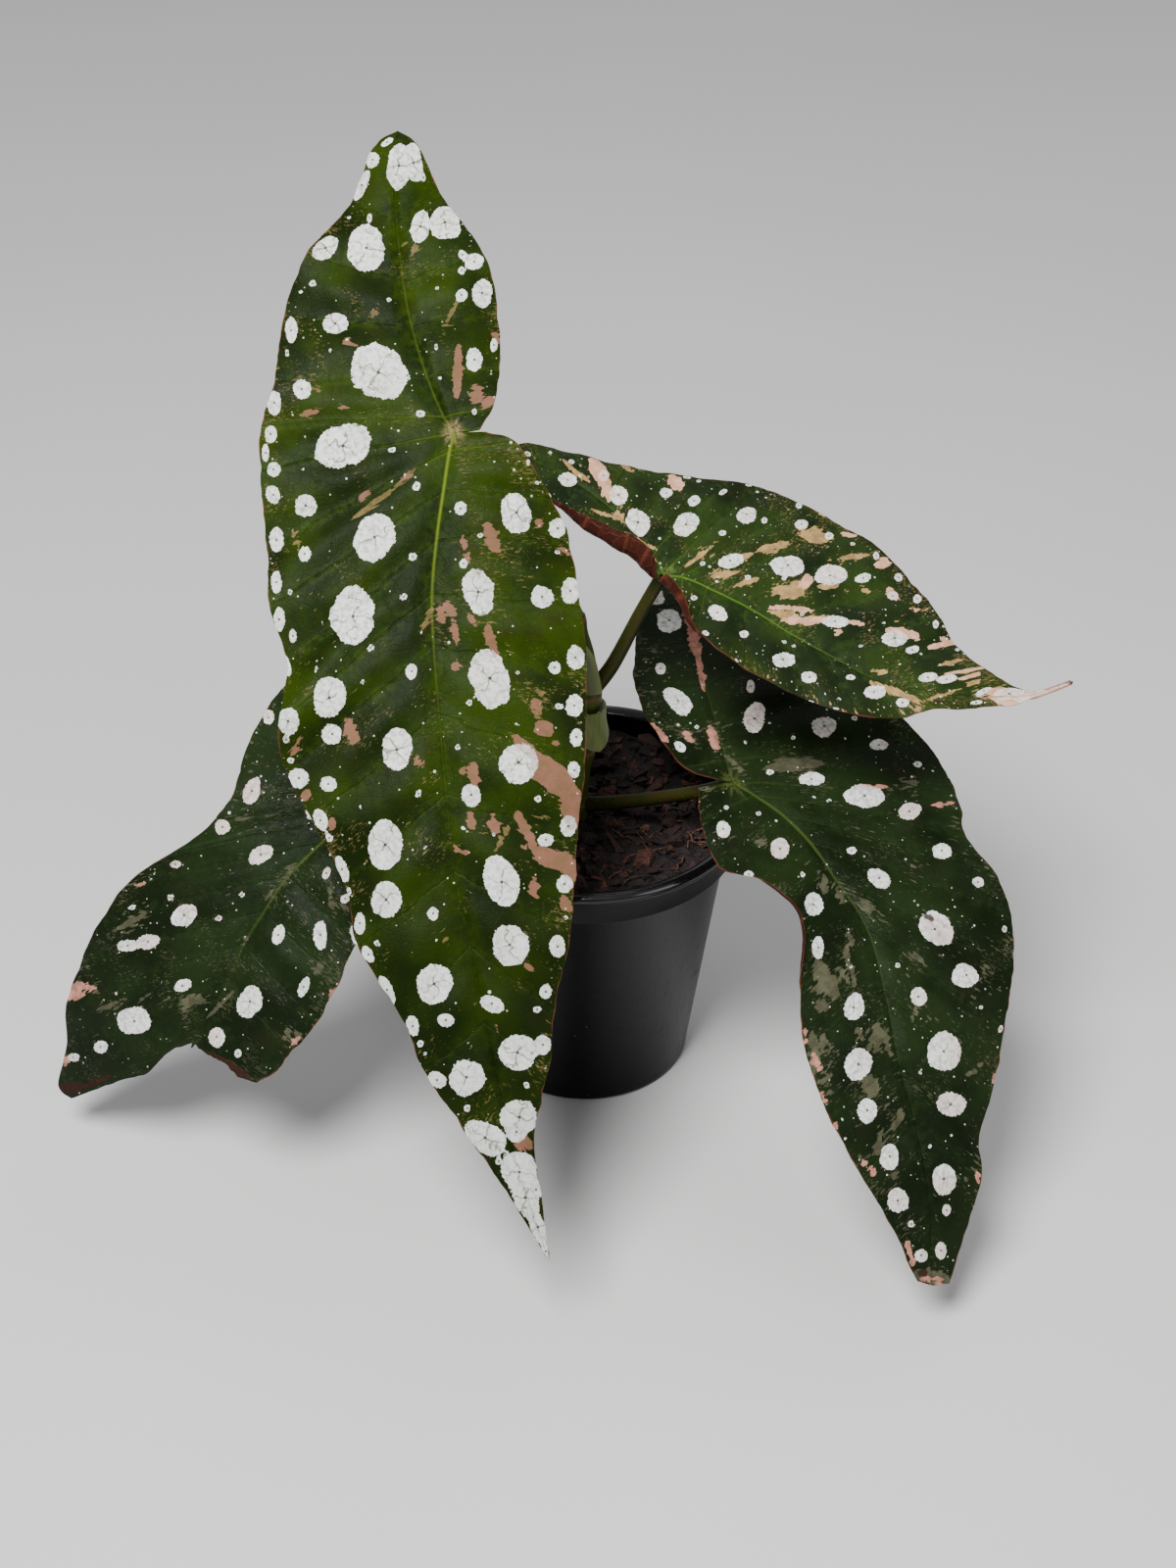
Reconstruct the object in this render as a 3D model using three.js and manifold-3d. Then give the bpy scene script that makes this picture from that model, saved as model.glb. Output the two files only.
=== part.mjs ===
// Potted polka dot begonia, in millimetres, +Z up.
// The origin is the centre of the pot's underside. +X is to the right of the plant's best side,
// and -Y is towards somebody who looks at that side.
//
// A thin nursery pot holds potting mix, and a short cane stands in a plain hole in the mix.
// Each leaf is a long lopsided blade on its own stalk. The stalk joins the blade from behind,
// where the main veins meet, so the blade reaches past it in a rounded basal lobe.

import * as THREE from 'three';
import { mergeVertices } from 'three/addons/utils/BufferGeometryUtils.js';
import Module from 'manifold-3d';

const manifoldLibrary = await Module();
manifoldLibrary.setup();

// ---------------------------------------------------------------- driving dimensions

const GAP = 0.3; // between pieces that touch

// The pot: a 9 cm round nursery pot.
const LIP_RADIUS = 45;
const POT_HEIGHT = 84.4;
const LIP_DEPTH = 3.4;
const COLLAR_RADIUS = 42;
const COLLAR_FOOT = 73.5;
const WALL_TOP_RADIUS = 38.4;
const WALL_TOP = 71;
const BASE_RADIUS = 29;
const BASE_BEVEL = 1.5;
const POT_WALL = 1.3;
const DRAIN_HOLES = 8;
const DRAIN_HOLE_RADIUS = 3.5;
const DRAIN_RING_RADIUS = 21;
const ROUND_SEGMENTS = 48;

// The potting mix.
const MIX_TOP = 78;
const MIX_RINGS = 5;
const MIX_ROUGHNESS = 1.3;
const BARK_CHIPS = 44;
const CHIP_LENGTH = [4, 9];
const CHIP_WIDTH = [2, 4];
const CHIP_THICKNESS = [1.6, 2.6];
const CHIP_UNEVENNESS = 0.35; // share of its size that a corner may lie in
const CHIP_TILT = 0.3; // radians, either way
const CHIP_LIFT = 0.25; // of a chip's middle above the mix
const MIX_SEED = 7;

// The cane, from its foot in the mix to its growing tip, with a swollen joint at each leaf.
const CANE_PATH = [
  [-2.5, -1, 54],
  [-2.5, -1, 78],
  [-1, 0, 98],
  [1, 0, 116],
  [0, 1, 128],
  [-3, 2, 139],
  [-4, 2, 147],
];
const CANE_FOOT_RADIUS = 3.1;
const CANE_TOP_RADIUS = 2.3;
const CANE_TIP_RADIUS = 0.8;
const JOINT_HEIGHTS = [82, 98, 116, 138];
const JOINT_SWELL = 0.8;
const JOINT_LENGTH = 2.6;
const TIP_LENGTH = 6; // the cane's last stretch, which narrows to its tip
const CANE_STEPS = 30;
const CANE_SIDES = 12;

// The leaf stalks.
const PETIOLE_FOOT_RADIUS = 2.1;
const PETIOLE_NECK_RADIUS = 1.7;
const PETIOLE_STEPS = 14;
const PETIOLE_SIDES = 10;
const PETIOLE_TRIM = 4; // above a blade's face, where the rest of its stalk is cut off

// The blades.
const BLADE_THICKNESS = 0.8;
const BLADE_EDGE_THICKNESS = 0.6;
const MIDRIB_HEIGHT = 1.0; // on the underside, where the stalk joins
const VEIN_HEIGHT = 0.4; // on the underside
const MIDRIB_VALLEY = 0.7; // on the upper face
const QUILTING = 1.1; // how far the blade rises between two main veins
const MARGIN_CURL_POWER = 2.2; // the blade stays flat by the midrib and bends near its margin
const ROWS_PER_VEIN = 2;
const COLUMNS = 6; // from the midrib to a margin
const COLUMN_POWER = 1.25; // above 1, the columns are closer together by the midrib

// The four blades. A blade lies in its own frame: the stalk joins at (0, 0), the tip is at -y,
// and the upper face looks along +z. It is placed by the point where its stalk joins, the point
// of its tip, and the direction that its upper face looks. The arch is how far the blade bows out
// of the straight line between these two points.
//
// Each row is one main vein on either side of the midrib, from the basal lobe to the tip:
// a point on the left margin, a point on the midrib, and a point on the right margin. A margin
// point's third number is how far the margin lifts (+) or droops (-) there.
//
// The two basal lobes meet along a slit that runs from the stalk to one margin. The slit's row
// has a second margin point, for the lobe below it.
const LEAVES = [
  {
    name: 'front',
    base: [-32.2, 3, 192],
    tip: [-8.8, -117.1, 30],
    facing: [0, -0.8, 0.6],
    arch: 9,
    slit: { row: 7, side: 'right', lower: [8, -1, -1] },
    rows: [
      [[-6, 80.5, 0], [-6, 80.5], [-6, 80.5, 0]],
      [[-12, 77.5, -1], [-7.5, 70.5], [-1.5, 76.5, -1]],
      [[-20, 62.5, -2], [-8.5, 56], [3.5, 62, -3]],
      [[-32, 49, 1], [-8.5, 40.5], [12.5, 44, -1]],
      [[-39, 34.5, -3], [-7.5, 28], [14, 29, -3]],
      [[-42.5, 17.5, 0], [-5, 14.5], [13, 15, -2]],
      [[-47, 7, -3], [-2, 4], [10.5, 5, 0]],
      [[-48, -4, -1], [0, -0.5], [6.5, -0.5, 1]],
      [[-48.5, -23.5, -4], [-1.5, -5], [15, -5, 0]],
      [[-49, -38, -2], [-4, -14.5], [22, -19.5, -3]],
      [[-46.5, -52.5, -4], [-7, -26.5], [25, -30, -5]],
      [[-49.5, -67, 1], [-9.5, -39.5], [26, -47, -3]],
      [[-49.5, -78, -4], [-10.5, -52.5], [25.5, -63.5, -6]],
      [[-44, -91, -2], [-11, -69], [22.5, -85, -4]],
      [[-38.5, -107.5, -5], [-11.5, -88], [18.5, -103.5, -5]],
      [[-36.5, -122.5, -2], [-11.5, -107], [14.5, -124.5, -2]],
      [[-28, -141.5, -3], [-10, -125], [8.5, -142.5, -3]],
      [[-24.5, -153.5, -1], [-8.5, -144], [5.5, -156.5, -1]],
      [[-16.5, -169.5, -2], [-7, -162], [0, -172.5, -2]],
      [[-9, -184, -1], [-5, -179], [0, -187.5, -1]],
      [[0, -203.5, 0], [0, -203.5], [0, -203.5, 0]],
    ],
  },
  {
    name: 'right',
    base: [19.7, 0, 153.7],
    tip: [122.9, -16.8, 131.4],
    facing: [0.14, -0.36, 0.92],
    arch: -3,
    slit: { row: 6, side: 'left', lower: [-3.5, -1, 1.5] },
    rows: [
      [[17, 48.5, 0], [17, 48.5], [17, 48.5, 0]],
      [[10, 41, 1], [19.5, 39], [25, 42, -1]],
      [[6.5, 29.5, 3], [18, 27], [29.5, 29.5, -3]],
      [[3, 21.5, 4], [14.5, 17.5], [31, 16.5, -2]],
      [[1, 10.5, 4], [10, 9.5], [36.5, 3.5, -5]],
      [[-0.5, 4.5, 3], [5.5, 3.5], [38.5, -9.5, -3]],
      [[-2, 1.5, 1.5], [0, 0], [42, -18.5, -5]],
      [[-9.5, -6.5, 3.5], [1, -5], [39, -31, -3]],
      [[-17.5, -12, 4], [0.5, -11.5], [37.5, -42.5, -5]],
      [[-21.5, -25.5, 1], [-1.5, -22], [31.5, -53, -3]],
      [[-24, -42, -1], [-5, -33], [24, -63, -4]],
      [[-26, -56.5, 1], [-8.5, -44], [13, -71, -1]],
      [[-21.5, -66.5, -1], [-12, -56], [6.5, -76.5, -3]],
      [[-17.5, -75.5, 1], [-12.5, -66], [-1, -84, 0]],
      [[-13, -85.5, -1], [-11.5, -77.5], [-2, -90.5, -2]],
      [[-11, -93, 0.5], [-9.5, -88], [-5.5, -96.5, 0]],
      [[0.5, -107, 0], [0.5, -107], [0.5, -107, 0]],
    ],
  },
  {
    name: 'lower_right',
    base: [38, -20, 103],
    tip: [85.8, -111.8, 15],
    facing: [0.3, -0.58, 0.76],
    arch: 13,
    slit: { row: 6, side: 'left', lower: [-9, 1.5, -1] },
    rows: [
      [[22, 68, 0], [22, 68], [22, 68, 0]],
      [[9, 59, 0], [19, 57], [31.5, 59.5, -1]],
      [[-1, 46.5, -1], [14.5, 44], [40.5, 47.5, -2]],
      [[-9, 34, 0], [9.5, 29.5], [48.5, 30.5, -4]],
      [[-11.5, 20.5, 1], [5.5, 17], [52, 13, -2]],
      [[-10.5, 7.5, 2], [2, 6.5], [58.5, -4.5, -4]],
      [[-4, 2, 1], [0.5, 0], [54.5, -22, 2]],
      [[-13.5, -7.5, 0], [3.5, -5], [54, -32.5, -3]],
      [[-15, -20.5, -1], [8, -13], [54, -44.5, 1]],
      [[-7, -28, 2], [11, -22.5], [55.5, -57, -3]],
      [[-3.5, -41, 4], [12.5, -33.5], [48.5, -70, -1]],
      [[-9.5, -56, 1], [14.5, -47.5], [38, -83.5, 3]],
      [[-14, -71, -1], [12, -64], [31, -96, 0]],
      [[-15, -88, 1], [8.5, -82.5], [24.5, -106, -2]],
      [[-10.5, -104.5, -1], [7.5, -97], [20.5, -115.5, 1]],
      [[-6.5, -119.5, 0], [5.5, -114], [13.5, -126.5, -1]],
      [[-3.5, -133.5, 0], [0.5, -136], [5, -137, 0]],
    ],
  },
  {
    name: 'lower_left',
    base: [-54.2, -20, 101.4],
    tip: [-102.5, -55.5, 43.5],
    facing: [-0.25, -0.72, 0.65],
    arch: 8,
    slit: { row: 7, side: 'right', lower: [6.5, -0.5, -1] },
    rows: [
      [[-20.5, 62.5, 0], [-20.5, 62.5], [-20.5, 62.5, 0]],
      [[-25.5, 60.5, -1], [-19, 55], [-15, 59.5, 0]],
      [[-28.5, 48, -2], [-16.5, 43.5], [-7.5, 48.5, -1]],
      [[-35.5, 37, 0], [-13, 30.5], [4.5, 34, 0]],
      [[-38.5, 25, -2], [-10, 21.5], [7.5, 22, -2]],
      [[-38.5, 10, -1], [-6, 11], [8.5, 12, 0]],
      [[-36.5, -8, -3], [-2, 3], [7.5, 4, -1]],
      [[-28.5, -24.5, 0], [0, 0], [5, 0.5, 0]],
      [[-29.5, -36, -1], [-1, -4], [12.5, -3.5, -1]],
      [[-32.5, -45.5, 1], [-0.5, -10.5], [18.5, -13.5, -2]],
      [[-39.5, -59, -3], [-1.5, -20], [22.5, -23, -1]],
      [[-39.5, -71, 0], [-3, -31], [22, -34, -3]],
      [[-40.5, -85, -3], [-2.5, -42], [24.5, -44, -1]],
      [[-38, -97.5, 0], [-2, -52], [25, -56.5, -4]],
      [[-34.5, -108.5, -2], [0, -62.5], [24, -66.5, -2]],
      [[-31.5, -119.5, 1], [0.5, -73], [22.5, -74, -3]],
      [[-27, -120.5, 0], [0, -83.5], [20.5, -79.5, -1]],
    ],
  },
];

// The stalks, each from inside the cane to the middle of the blade that it carries.
const PETIOLE_PATHS = {
  front: [[-3, 2, 138], [-10, 6, 152], [-22, 10, 174], [-29, 8, 186], [-32.2, 3, 192]],
  right: [[1, 0, 117], [7, 0, 126], [14, 1, 141], [18.5, 1.5, 150], [19.7, 0, 153.7]],
  lower_right: [[-2, -1, 82], [9, -4, 85], [21, -8.5, 90], [32, -15, 97], [38, -20, 103]],
  lower_left: [[-1, 0, 98], [-16, -2, 101], [-34, -7, 103], [-47, -13, 101], [-54.2, -20, 101.4]],
};

// The stipules: papery sheaths that stay at a joint after its leaf has opened. Each is a curved
// sheet round the cane, pointed at its free end: its foot and tip heights, the direction it faces
// and how far it wraps round at its foot (degrees), and its distance from the cane at both ends.
const STIPULE_THICKNESS = 0.7;
const STIPULES = [
  { name: 'lower', foot: 113.5, tip: 102.5, faces: -52, wraps: 95, reach: [4, 6.6] },
  { name: 'upper', foot: 119.5, tip: 141, faces: -118, wraps: 70, reach: [4.1, 5] },
];

// ---------------------------------------------------------------- finishes

const finish = (colour, roughness) => new THREE.MeshStandardMaterial({
  color: colour,
  roughness,
  metalness: 0,
  side: THREE.DoubleSide,
});
const POT_PLASTIC = finish(0x0c0c0d, 0.35);
const BARK_MIX = finish(0x3a2018, 0.95);
const CANE_GREEN = finish(0x6b7a34, 0.5);
const PETIOLE_GREEN = finish(0x75793a, 0.5);
const STIPULE_GREEN = finish(0xa7b56a, 0.6);
const BLADE_GREEN = finish(0x2f5a24, 0.4);

// ---------------------------------------------------------------- helpers

const vector = (point) => new THREE.Vector3(...point);
const curveThrough = (points) => (
  new THREE.CatmullRomCurve3(points.map(vector), false, 'catmullrom', 0.5)
);

// A repeatable random number from 0 to 1.
function seededRandom(seed) {
  let state = seed;
  return () => {
    state = (state + 0x6d2b79f5) | 0;
    let mixed = Math.imul(state ^ (state >>> 15), 1 | state);
    mixed = (mixed + Math.imul(mixed ^ (mixed >>> 7), 61 | mixed)) ^ mixed;
    return ((mixed ^ (mixed >>> 14)) >>> 0) / 4294967296;
  };
}

function indexedGeometry(points, triangles) {
  const geometry = new THREE.BufferGeometry();
  const positions = points.flatMap((point) => [point.x, point.y, point.z]);
  geometry.setAttribute('position', new THREE.Float32BufferAttribute(positions, 3));
  geometry.setIndex(triangles.flat());
  geometry.computeVertexNormals();
  return geometry;
}

// A closed geometry as a solid that can be joined and cut.
function toSolid(geometry) {
  const bare = geometry.clone();
  bare.deleteAttribute('normal');
  bare.deleteAttribute('uv');
  const merged = mergeVertices(bare, 1e-4);
  const index = merged.index.array;
  const kept = [];
  for (let i = 0; i < index.length; i += 3) {
    const [a, b, c] = index.slice(i, i + 3);
    if (a !== b && b !== c && c !== a) {
      kept.push(a, b, c);
    }
  }
  return new manifoldLibrary.Manifold(new manifoldLibrary.Mesh({
    numProp: 3,
    vertProperties: new Float32Array(merged.attributes.position.array),
    triVerts: new Uint32Array(kept),
  }));
}

// The largest body of a solid, as a geometry.
function toGeometry(solid) {
  const bodies = solid.decompose().sort((a, b) => b.volume() - a.volume());
  const mesh = bodies[0].getMesh();
  const geometry = new THREE.BufferGeometry();
  geometry.setAttribute('position', new THREE.BufferAttribute(mesh.vertProperties, 3));
  geometry.setIndex(new THREE.BufferAttribute(mesh.triVerts, 1));
  geometry.computeVertexNormals();
  return geometry;
}

// A thin body between two sheets of matching points, walled along every open edge.
function closedSheet(front, back, triangles) {
  const count = front.length;
  const edges = new Set(triangles.flatMap(([a, b, c]) => [`${a}_${b}`, `${b}_${c}`, `${c}_${a}`]));
  const underside = triangles.map(([a, b, c]) => [a + count, c + count, b + count]);
  const walls = [];
  for (const edge of edges) {
    const [from, to] = edge.split('_').map(Number);
    if (!edges.has(`${to}_${from}`)) {
      walls.push([from, from + count, to + count], [from, to + count, to]);
    }
  }
  return indexedGeometry([...front, ...back], [...triangles, ...underside, ...walls]);
}

// The triangles of a grid of point numbers. Columns that run into one point are left out.
function gridTriangles(grid, flipped) {
  const triangles = [];
  for (let i = 0; i + 1 < grid.length; i += 1) {
    for (let j = 0; j + 1 < grid[i].length; j += 1) {
      const [a, b, c, d] = [grid[i][j], grid[i + 1][j], grid[i + 1][j + 1], grid[i][j + 1]];
      triangles.push([a, b, c], [a, c, d]);
    }
  }
  return triangles
    .filter(([a, b, c]) => a !== b && b !== c && c !== a)
    .map(([a, b, c]) => (flipped ? [a, c, b] : [a, b, c]));
}

// A round stem along a path, with its radius given along the path from 0 to 1.
function stem(path, radiusAt, steps, sides, extra = 0) {
  const curve = curveThrough(path);
  const frames = curve.computeFrenetFrames(steps, false);
  const points = [];
  const grid = [];
  for (let i = 0; i <= steps; i += 1) {
    const centre = curve.getPointAt(i / steps);
    const radius = radiusAt(i / steps, centre) + extra;
    grid.push([]);
    for (let j = 0; j < sides; j += 1) {
      const angle = (2 * Math.PI * j) / sides;
      grid[i].push(points.length);
      points.push(centre.clone()
        .addScaledVector(frames.normals[i], radius * Math.cos(angle))
        .addScaledVector(frames.binormals[i], radius * Math.sin(angle)));
    }
    grid[i].push(grid[i][0]);
  }
  const triangles = gridTriangles(grid, true);
  for (let j = 1; j + 1 < sides; j += 1) {
    triangles.push([grid[0][0], grid[0][j + 1], grid[0][j]]);
    triangles.push([grid[steps][0], grid[steps][j], grid[steps][j + 1]]);
  }
  return indexedGeometry(points, triangles);
}

// ---------------------------------------------------------------- pot

// The inside of the pot's wall, from the floor up: [radius, height].
const INNER_WALL = [
  [BASE_RADIUS - POT_WALL, POT_WALL],
  [WALL_TOP_RADIUS - POT_WALL, WALL_TOP],
  [COLLAR_RADIUS - POT_WALL, COLLAR_FOOT],
  [COLLAR_RADIUS - POT_WALL, POT_HEIGHT - 1],
];

function potGeometry() {
  const lipMiddle = POT_HEIGHT - LIP_DEPTH / 2;
  const profile = [
    [0, 0],
    [BASE_RADIUS - BASE_BEVEL, 0],
    [BASE_RADIUS, BASE_BEVEL],
    [WALL_TOP_RADIUS, WALL_TOP],
    [COLLAR_RADIUS, COLLAR_FOOT],
    [COLLAR_RADIUS, POT_HEIGHT - LIP_DEPTH - 1],
    [LIP_RADIUS - 0.8, POT_HEIGHT - LIP_DEPTH],
    [LIP_RADIUS, lipMiddle],
    [LIP_RADIUS - 0.8, POT_HEIGHT],
    [COLLAR_RADIUS, POT_HEIGHT],
    ...INNER_WALL.slice().reverse(),
    [0, POT_WALL],
  ];
  const lathe = new THREE.LatheGeometry(
    profile.map(([radius, height]) => new THREE.Vector2(radius, height)),
    ROUND_SEGMENTS,
  );
  lathe.rotateX(Math.PI / 2);
  let pot = toSolid(lathe);
  for (let i = 0; i < DRAIN_HOLES; i += 1) {
    const angle = (2 * Math.PI * (i + 0.5)) / DRAIN_HOLES;
    const drill = new THREE.CylinderGeometry(DRAIN_HOLE_RADIUS, DRAIN_HOLE_RADIUS, 6, 16);
    drill.rotateX(Math.PI / 2);
    drill.translate(DRAIN_RING_RADIUS * Math.cos(angle), DRAIN_RING_RADIUS * Math.sin(angle), 0);
    pot = pot.subtract(toSolid(drill));
  }
  return toGeometry(pot);
}

// ---------------------------------------------------------------- cane and stalks

function caneRadius(along, centre) {
  const taper = THREE.MathUtils.lerp(CANE_FOOT_RADIUS, CANE_TOP_RADIUS, along);
  const top = CANE_PATH.at(-1)[2];
  const tip = THREE.MathUtils.smoothstep(centre.z, top - TIP_LENGTH, top);
  const swell = JOINT_HEIGHTS.map((height) => (
    JOINT_SWELL * Math.exp(-(((centre.z - height) / JOINT_LENGTH) ** 2))
  ));
  return THREE.MathUtils.lerp(taper + Math.max(...swell), CANE_TIP_RADIUS, tip);
}

// The cane, or the hole that it stands in where there is a gap round it.
function caneGeometry(gap = 0) {
  const [[x, y, foot], ...rest] = CANE_PATH;
  return stem([[x, y, foot - gap], ...rest], caneRadius, CANE_STEPS, CANE_SIDES, gap);
}

function petioleRadius(along) {
  return THREE.MathUtils.lerp(PETIOLE_FOOT_RADIUS, PETIOLE_NECK_RADIUS, Math.min(1, 1.4 * along));
}

const wholePetiole = (leaf, gap = 0) => (
  stem(PETIOLE_PATHS[leaf.name], petioleRadius, PETIOLE_STEPS, PETIOLE_SIDES, gap)
);

function petioleGeometry(leaf) {
  const carried = bladeGeometry(leaf, PETIOLE_TRIM, GAP);
  carried.applyMatrix4(bladeMatrix(leaf));
  const cut = toSolid(caneGeometry(GAP)).add(toSolid(carried));
  return toGeometry(toSolid(wholePetiole(leaf)).subtract(cut));
}

// ---------------------------------------------------------------- blades

// Where a blade lies: its stalk's joint, and its axes across, towards the lobe, and out of its face.
function bladeMatrix(leaf) {
  const base = vector(leaf.base);
  const along = base.clone().sub(vector(leaf.tip)).normalize();
  const across = along.clone().cross(vector(leaf.facing)).normalize();
  const out = across.clone().cross(along);
  return new THREE.Matrix4().makeBasis(across, along, out).setPosition(base);
}

// A point of the upper face. The row runs along the midrib and grows by 1 from one main vein to
// the next, and across is 0 on the midrib and 1 on the margin.
function upperFace(leaf, rib, margin, row, across) {
  const length = vector(leaf.base).distanceTo(vector(leaf.tip));
  const point = rib.clone().lerp(margin, across);
  const along = -point.y / length;
  const arch = leaf.arch * 4 * along * (1 - along);
  const lift = (margin.z - rib.z) * across ** MARGIN_CURL_POWER;
  const quilt = QUILTING * Math.sin(Math.PI * row) ** 2 * 4 * across * (1 - across);
  const valley = MIDRIB_VALLEY * Math.max(0, 1 - 8 * across);
  point.z = arch + lift + quilt * quiltSize(leaf, row) - valley * quiltSize(leaf, row);
  return point;
}

// The relief fades out at both ends of a blade.
function quiltSize(leaf, row) {
  const last = leaf.rows.length - 1;
  return Math.min(1, row / 3, (last - row) / 4 + 0.1);
}

// How thick the blade is, with its ribs standing out of the underside.
function thickness(leaf, row, across) {
  const plain = THREE.MathUtils.lerp(BLADE_THICKNESS, BLADE_EDGE_THICKNESS, across);
  const midrib = MIDRIB_HEIGHT * Math.max(0, 1 - 8 * across);
  const vein = VEIN_HEIGHT * Math.cos(Math.PI * row) ** 2 * (1 - across);
  return plain + (midrib + vein) * quiltSize(leaf, row);
}

// The blade in its own frame. The extra thicknesses in front and behind are for cutting a stalk.
function bladeGeometry(leaf, extraFront = 0, extraBack = 0) {
  const last = leaf.rows.length - 1;
  const { row: slitRow, side: slitSide, lower } = leaf.slit;
  const ribs = curveThrough(leaf.rows.map(([, [x, y]]) => [x, y, 0]));
  const ribAt = (row) => ribs.getPoint(row / last);
  const front = [];
  const back = [];
  const addPoint = (row, across, rib, margin) => {
    const point = upperFace(leaf, rib, margin, row, across);
    const under = point.clone();
    under.z -= thickness(leaf, row, across) + extraBack;
    point.z += extraFront;
    back.push(under);
    return front.push(point) - 1;
  };
  const gridRows = last * ROWS_PER_VEIN + 1;
  const onRib = Array.from({ length: gridRows }, (_, i) => {
    const row = i / ROWS_PER_VEIN;
    return addPoint(row, 0, ribAt(row), ribAt(row));
  });
  const triangles = [];
  // One stretch of a half blade, whose margin runs through the given points.
  const addStretch = (side, firstRow, marginPoints) => {
    const margin = curveThrough(marginPoints);
    const veins = marginPoints.length - 1;
    const grid = [];
    for (let i = 0; i <= veins * ROWS_PER_VEIN; i += 1) {
      const row = firstRow + i / ROWS_PER_VEIN;
      const rib = ribAt(row);
      const edge = margin.getPoint(i / ROWS_PER_VEIN / veins);
      const start = onRib[firstRow * ROWS_PER_VEIN + i];
      const pointed = Math.hypot(edge.x - rib.x, edge.y - rib.y) < 0.01;
      grid.push([start]);
      for (let j = 1; j <= COLUMNS; j += 1) {
        const across = (j / COLUMNS) ** COLUMN_POWER;
        grid[i].push(pointed ? start : addPoint(row, across, rib, edge));
      }
    }
    triangles.push(...gridTriangles(grid, side === 'left'));
  };
  const marginOf = { left: leaf.rows.map(([l]) => l), right: leaf.rows.map(([, , r]) => r) };
  const wholeSide = slitSide === 'left' ? 'right' : 'left';
  const slitMargin = marginOf[slitSide];
  addStretch(wholeSide, 0, marginOf[wholeSide]);
  addStretch(slitSide, 0, slitMargin.slice(0, slitRow + 1));
  addStretch(slitSide, slitRow, [lower, ...slitMargin.slice(slitRow + 1)]);
  return closedSheet(front, back, triangles);
}

// ---------------------------------------------------------------- stipules

function stipuleGeometry({ foot, tip, faces, wraps, reach }) {
  const cane = curveThrough(CANE_PATH);
  const samples = cane.getPoints(200);
  const caneAt = (height) => samples.reduce((best, point) => (
    Math.abs(point.z - height) < Math.abs(best.z - height) ? point : best
  ));
  const rows = 8;
  const columns = 8;
  const front = [];
  const back = [];
  const grid = [];
  for (let i = 0; i <= rows; i += 1) {
    const along = i / rows;
    const height = THREE.MathUtils.lerp(foot, tip, along);
    const centre = caneAt(height);
    const half = wraps * Math.cos((Math.PI / 2) * along ** 1.6) + 0.5;
    grid.push([]);
    for (let j = 0; j <= columns; j += 1) {
      const side = (2 * j) / columns - 1;
      const angle = THREE.MathUtils.degToRad(faces + half * side);
      const outer = THREE.MathUtils.lerp(reach[0], reach[1], along ** 1.5) + STIPULE_THICKNESS;
      const place = (radius) => new THREE.Vector3(
        centre.x + radius * Math.cos(angle),
        centre.y + radius * Math.sin(angle),
        height,
      );
      const pointed = i === rows && j > 0;
      grid[i].push(pointed ? grid[i][0] : front.push(place(outer)) - 1);
      if (!pointed) {
        back.push(place(outer - STIPULE_THICKNESS));
      }
    }
  }
  return closedSheet(front, back, gridTriangles(grid, tip > foot));
}

// ---------------------------------------------------------------- potting mix

// The level of the mix at a place on its surface.
function mixLevel(x, y) {
  const broad = Math.sin(0.21 * x + 1.3) * Math.cos(0.17 * y - 0.4);
  const fine = Math.sin(0.63 * x - 0.5 * y) * Math.sin(0.71 * y + 0.31 * x);
  return MIX_TOP + MIX_ROUGHNESS * (0.7 * broad + 0.6 * fine);
}

function mixBody() {
  const points = [];
  const ring = (radius, level) => {
    const numbers = [];
    for (let j = 0; j < ROUND_SEGMENTS; j += 1) {
      const angle = (2 * Math.PI * j) / ROUND_SEGMENTS;
      const [x, y] = [radius * Math.cos(angle), radius * Math.sin(angle)];
      numbers.push(points.push(new THREE.Vector3(x, y, level ?? mixLevel(x, y))) - 1);
    }
    return [...numbers, numbers[0]];
  };
  const [floor, wallTop, collarFoot] = INNER_WALL;
  const centreTop = points.push(new THREE.Vector3(0, 0, mixLevel(0, 0))) - 1;
  const grid = [new Array(ROUND_SEGMENTS + 1).fill(centreTop)];
  const topRadius = collarFoot[0] - GAP;
  for (let i = 1; i <= MIX_RINGS; i += 1) {
    grid.push(ring((topRadius * i) / MIX_RINGS));
  }
  grid.push(ring(topRadius, collarFoot[1] + GAP));
  grid.push(ring(wallTop[0] - GAP, wallTop[1] + GAP));
  grid.push(ring(floor[0] - GAP, floor[1] + GAP));
  const centreFloor = points.push(new THREE.Vector3(0, 0, floor[1] + GAP)) - 1;
  grid.push(new Array(ROUND_SEGMENTS + 1).fill(centreFloor));
  return toSolid(indexedGeometry(points, gridTriangles(grid, false)));
}

// One bark chip: a box with uneven corners, lying half sunk in the mix.
function barkChip(random, topRadius) {
  const between = ([low, high]) => low + (high - low) * random();
  const chip = new THREE.BoxGeometry(
    between(CHIP_LENGTH),
    between(CHIP_WIDTH),
    between(CHIP_THICKNESS),
  );
  chip.deleteAttribute('normal');
  chip.deleteAttribute('uv');
  const merged = mergeVertices(chip);
  const corners = merged.attributes.position;
  for (let i = 0; i < corners.count; i += 1) {
    const shrink = 1 - CHIP_UNEVENNESS * random();
    corners.setXYZ(i, corners.getX(i) * shrink, corners.getY(i) * shrink, corners.getZ(i));
  }
  merged.rotateX(between([-CHIP_TILT, CHIP_TILT]));
  merged.rotateY(between([-CHIP_TILT, CHIP_TILT]));
  merged.rotateZ(2 * Math.PI * random());
  const radius = topRadius * Math.sqrt(random());
  const angle = 2 * Math.PI * random();
  const [x, y] = [radius * Math.cos(angle), radius * Math.sin(angle)];
  merged.translate(x, y, mixLevel(x, y) + CHIP_LIFT);
  return toSolid(merged);
}

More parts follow.
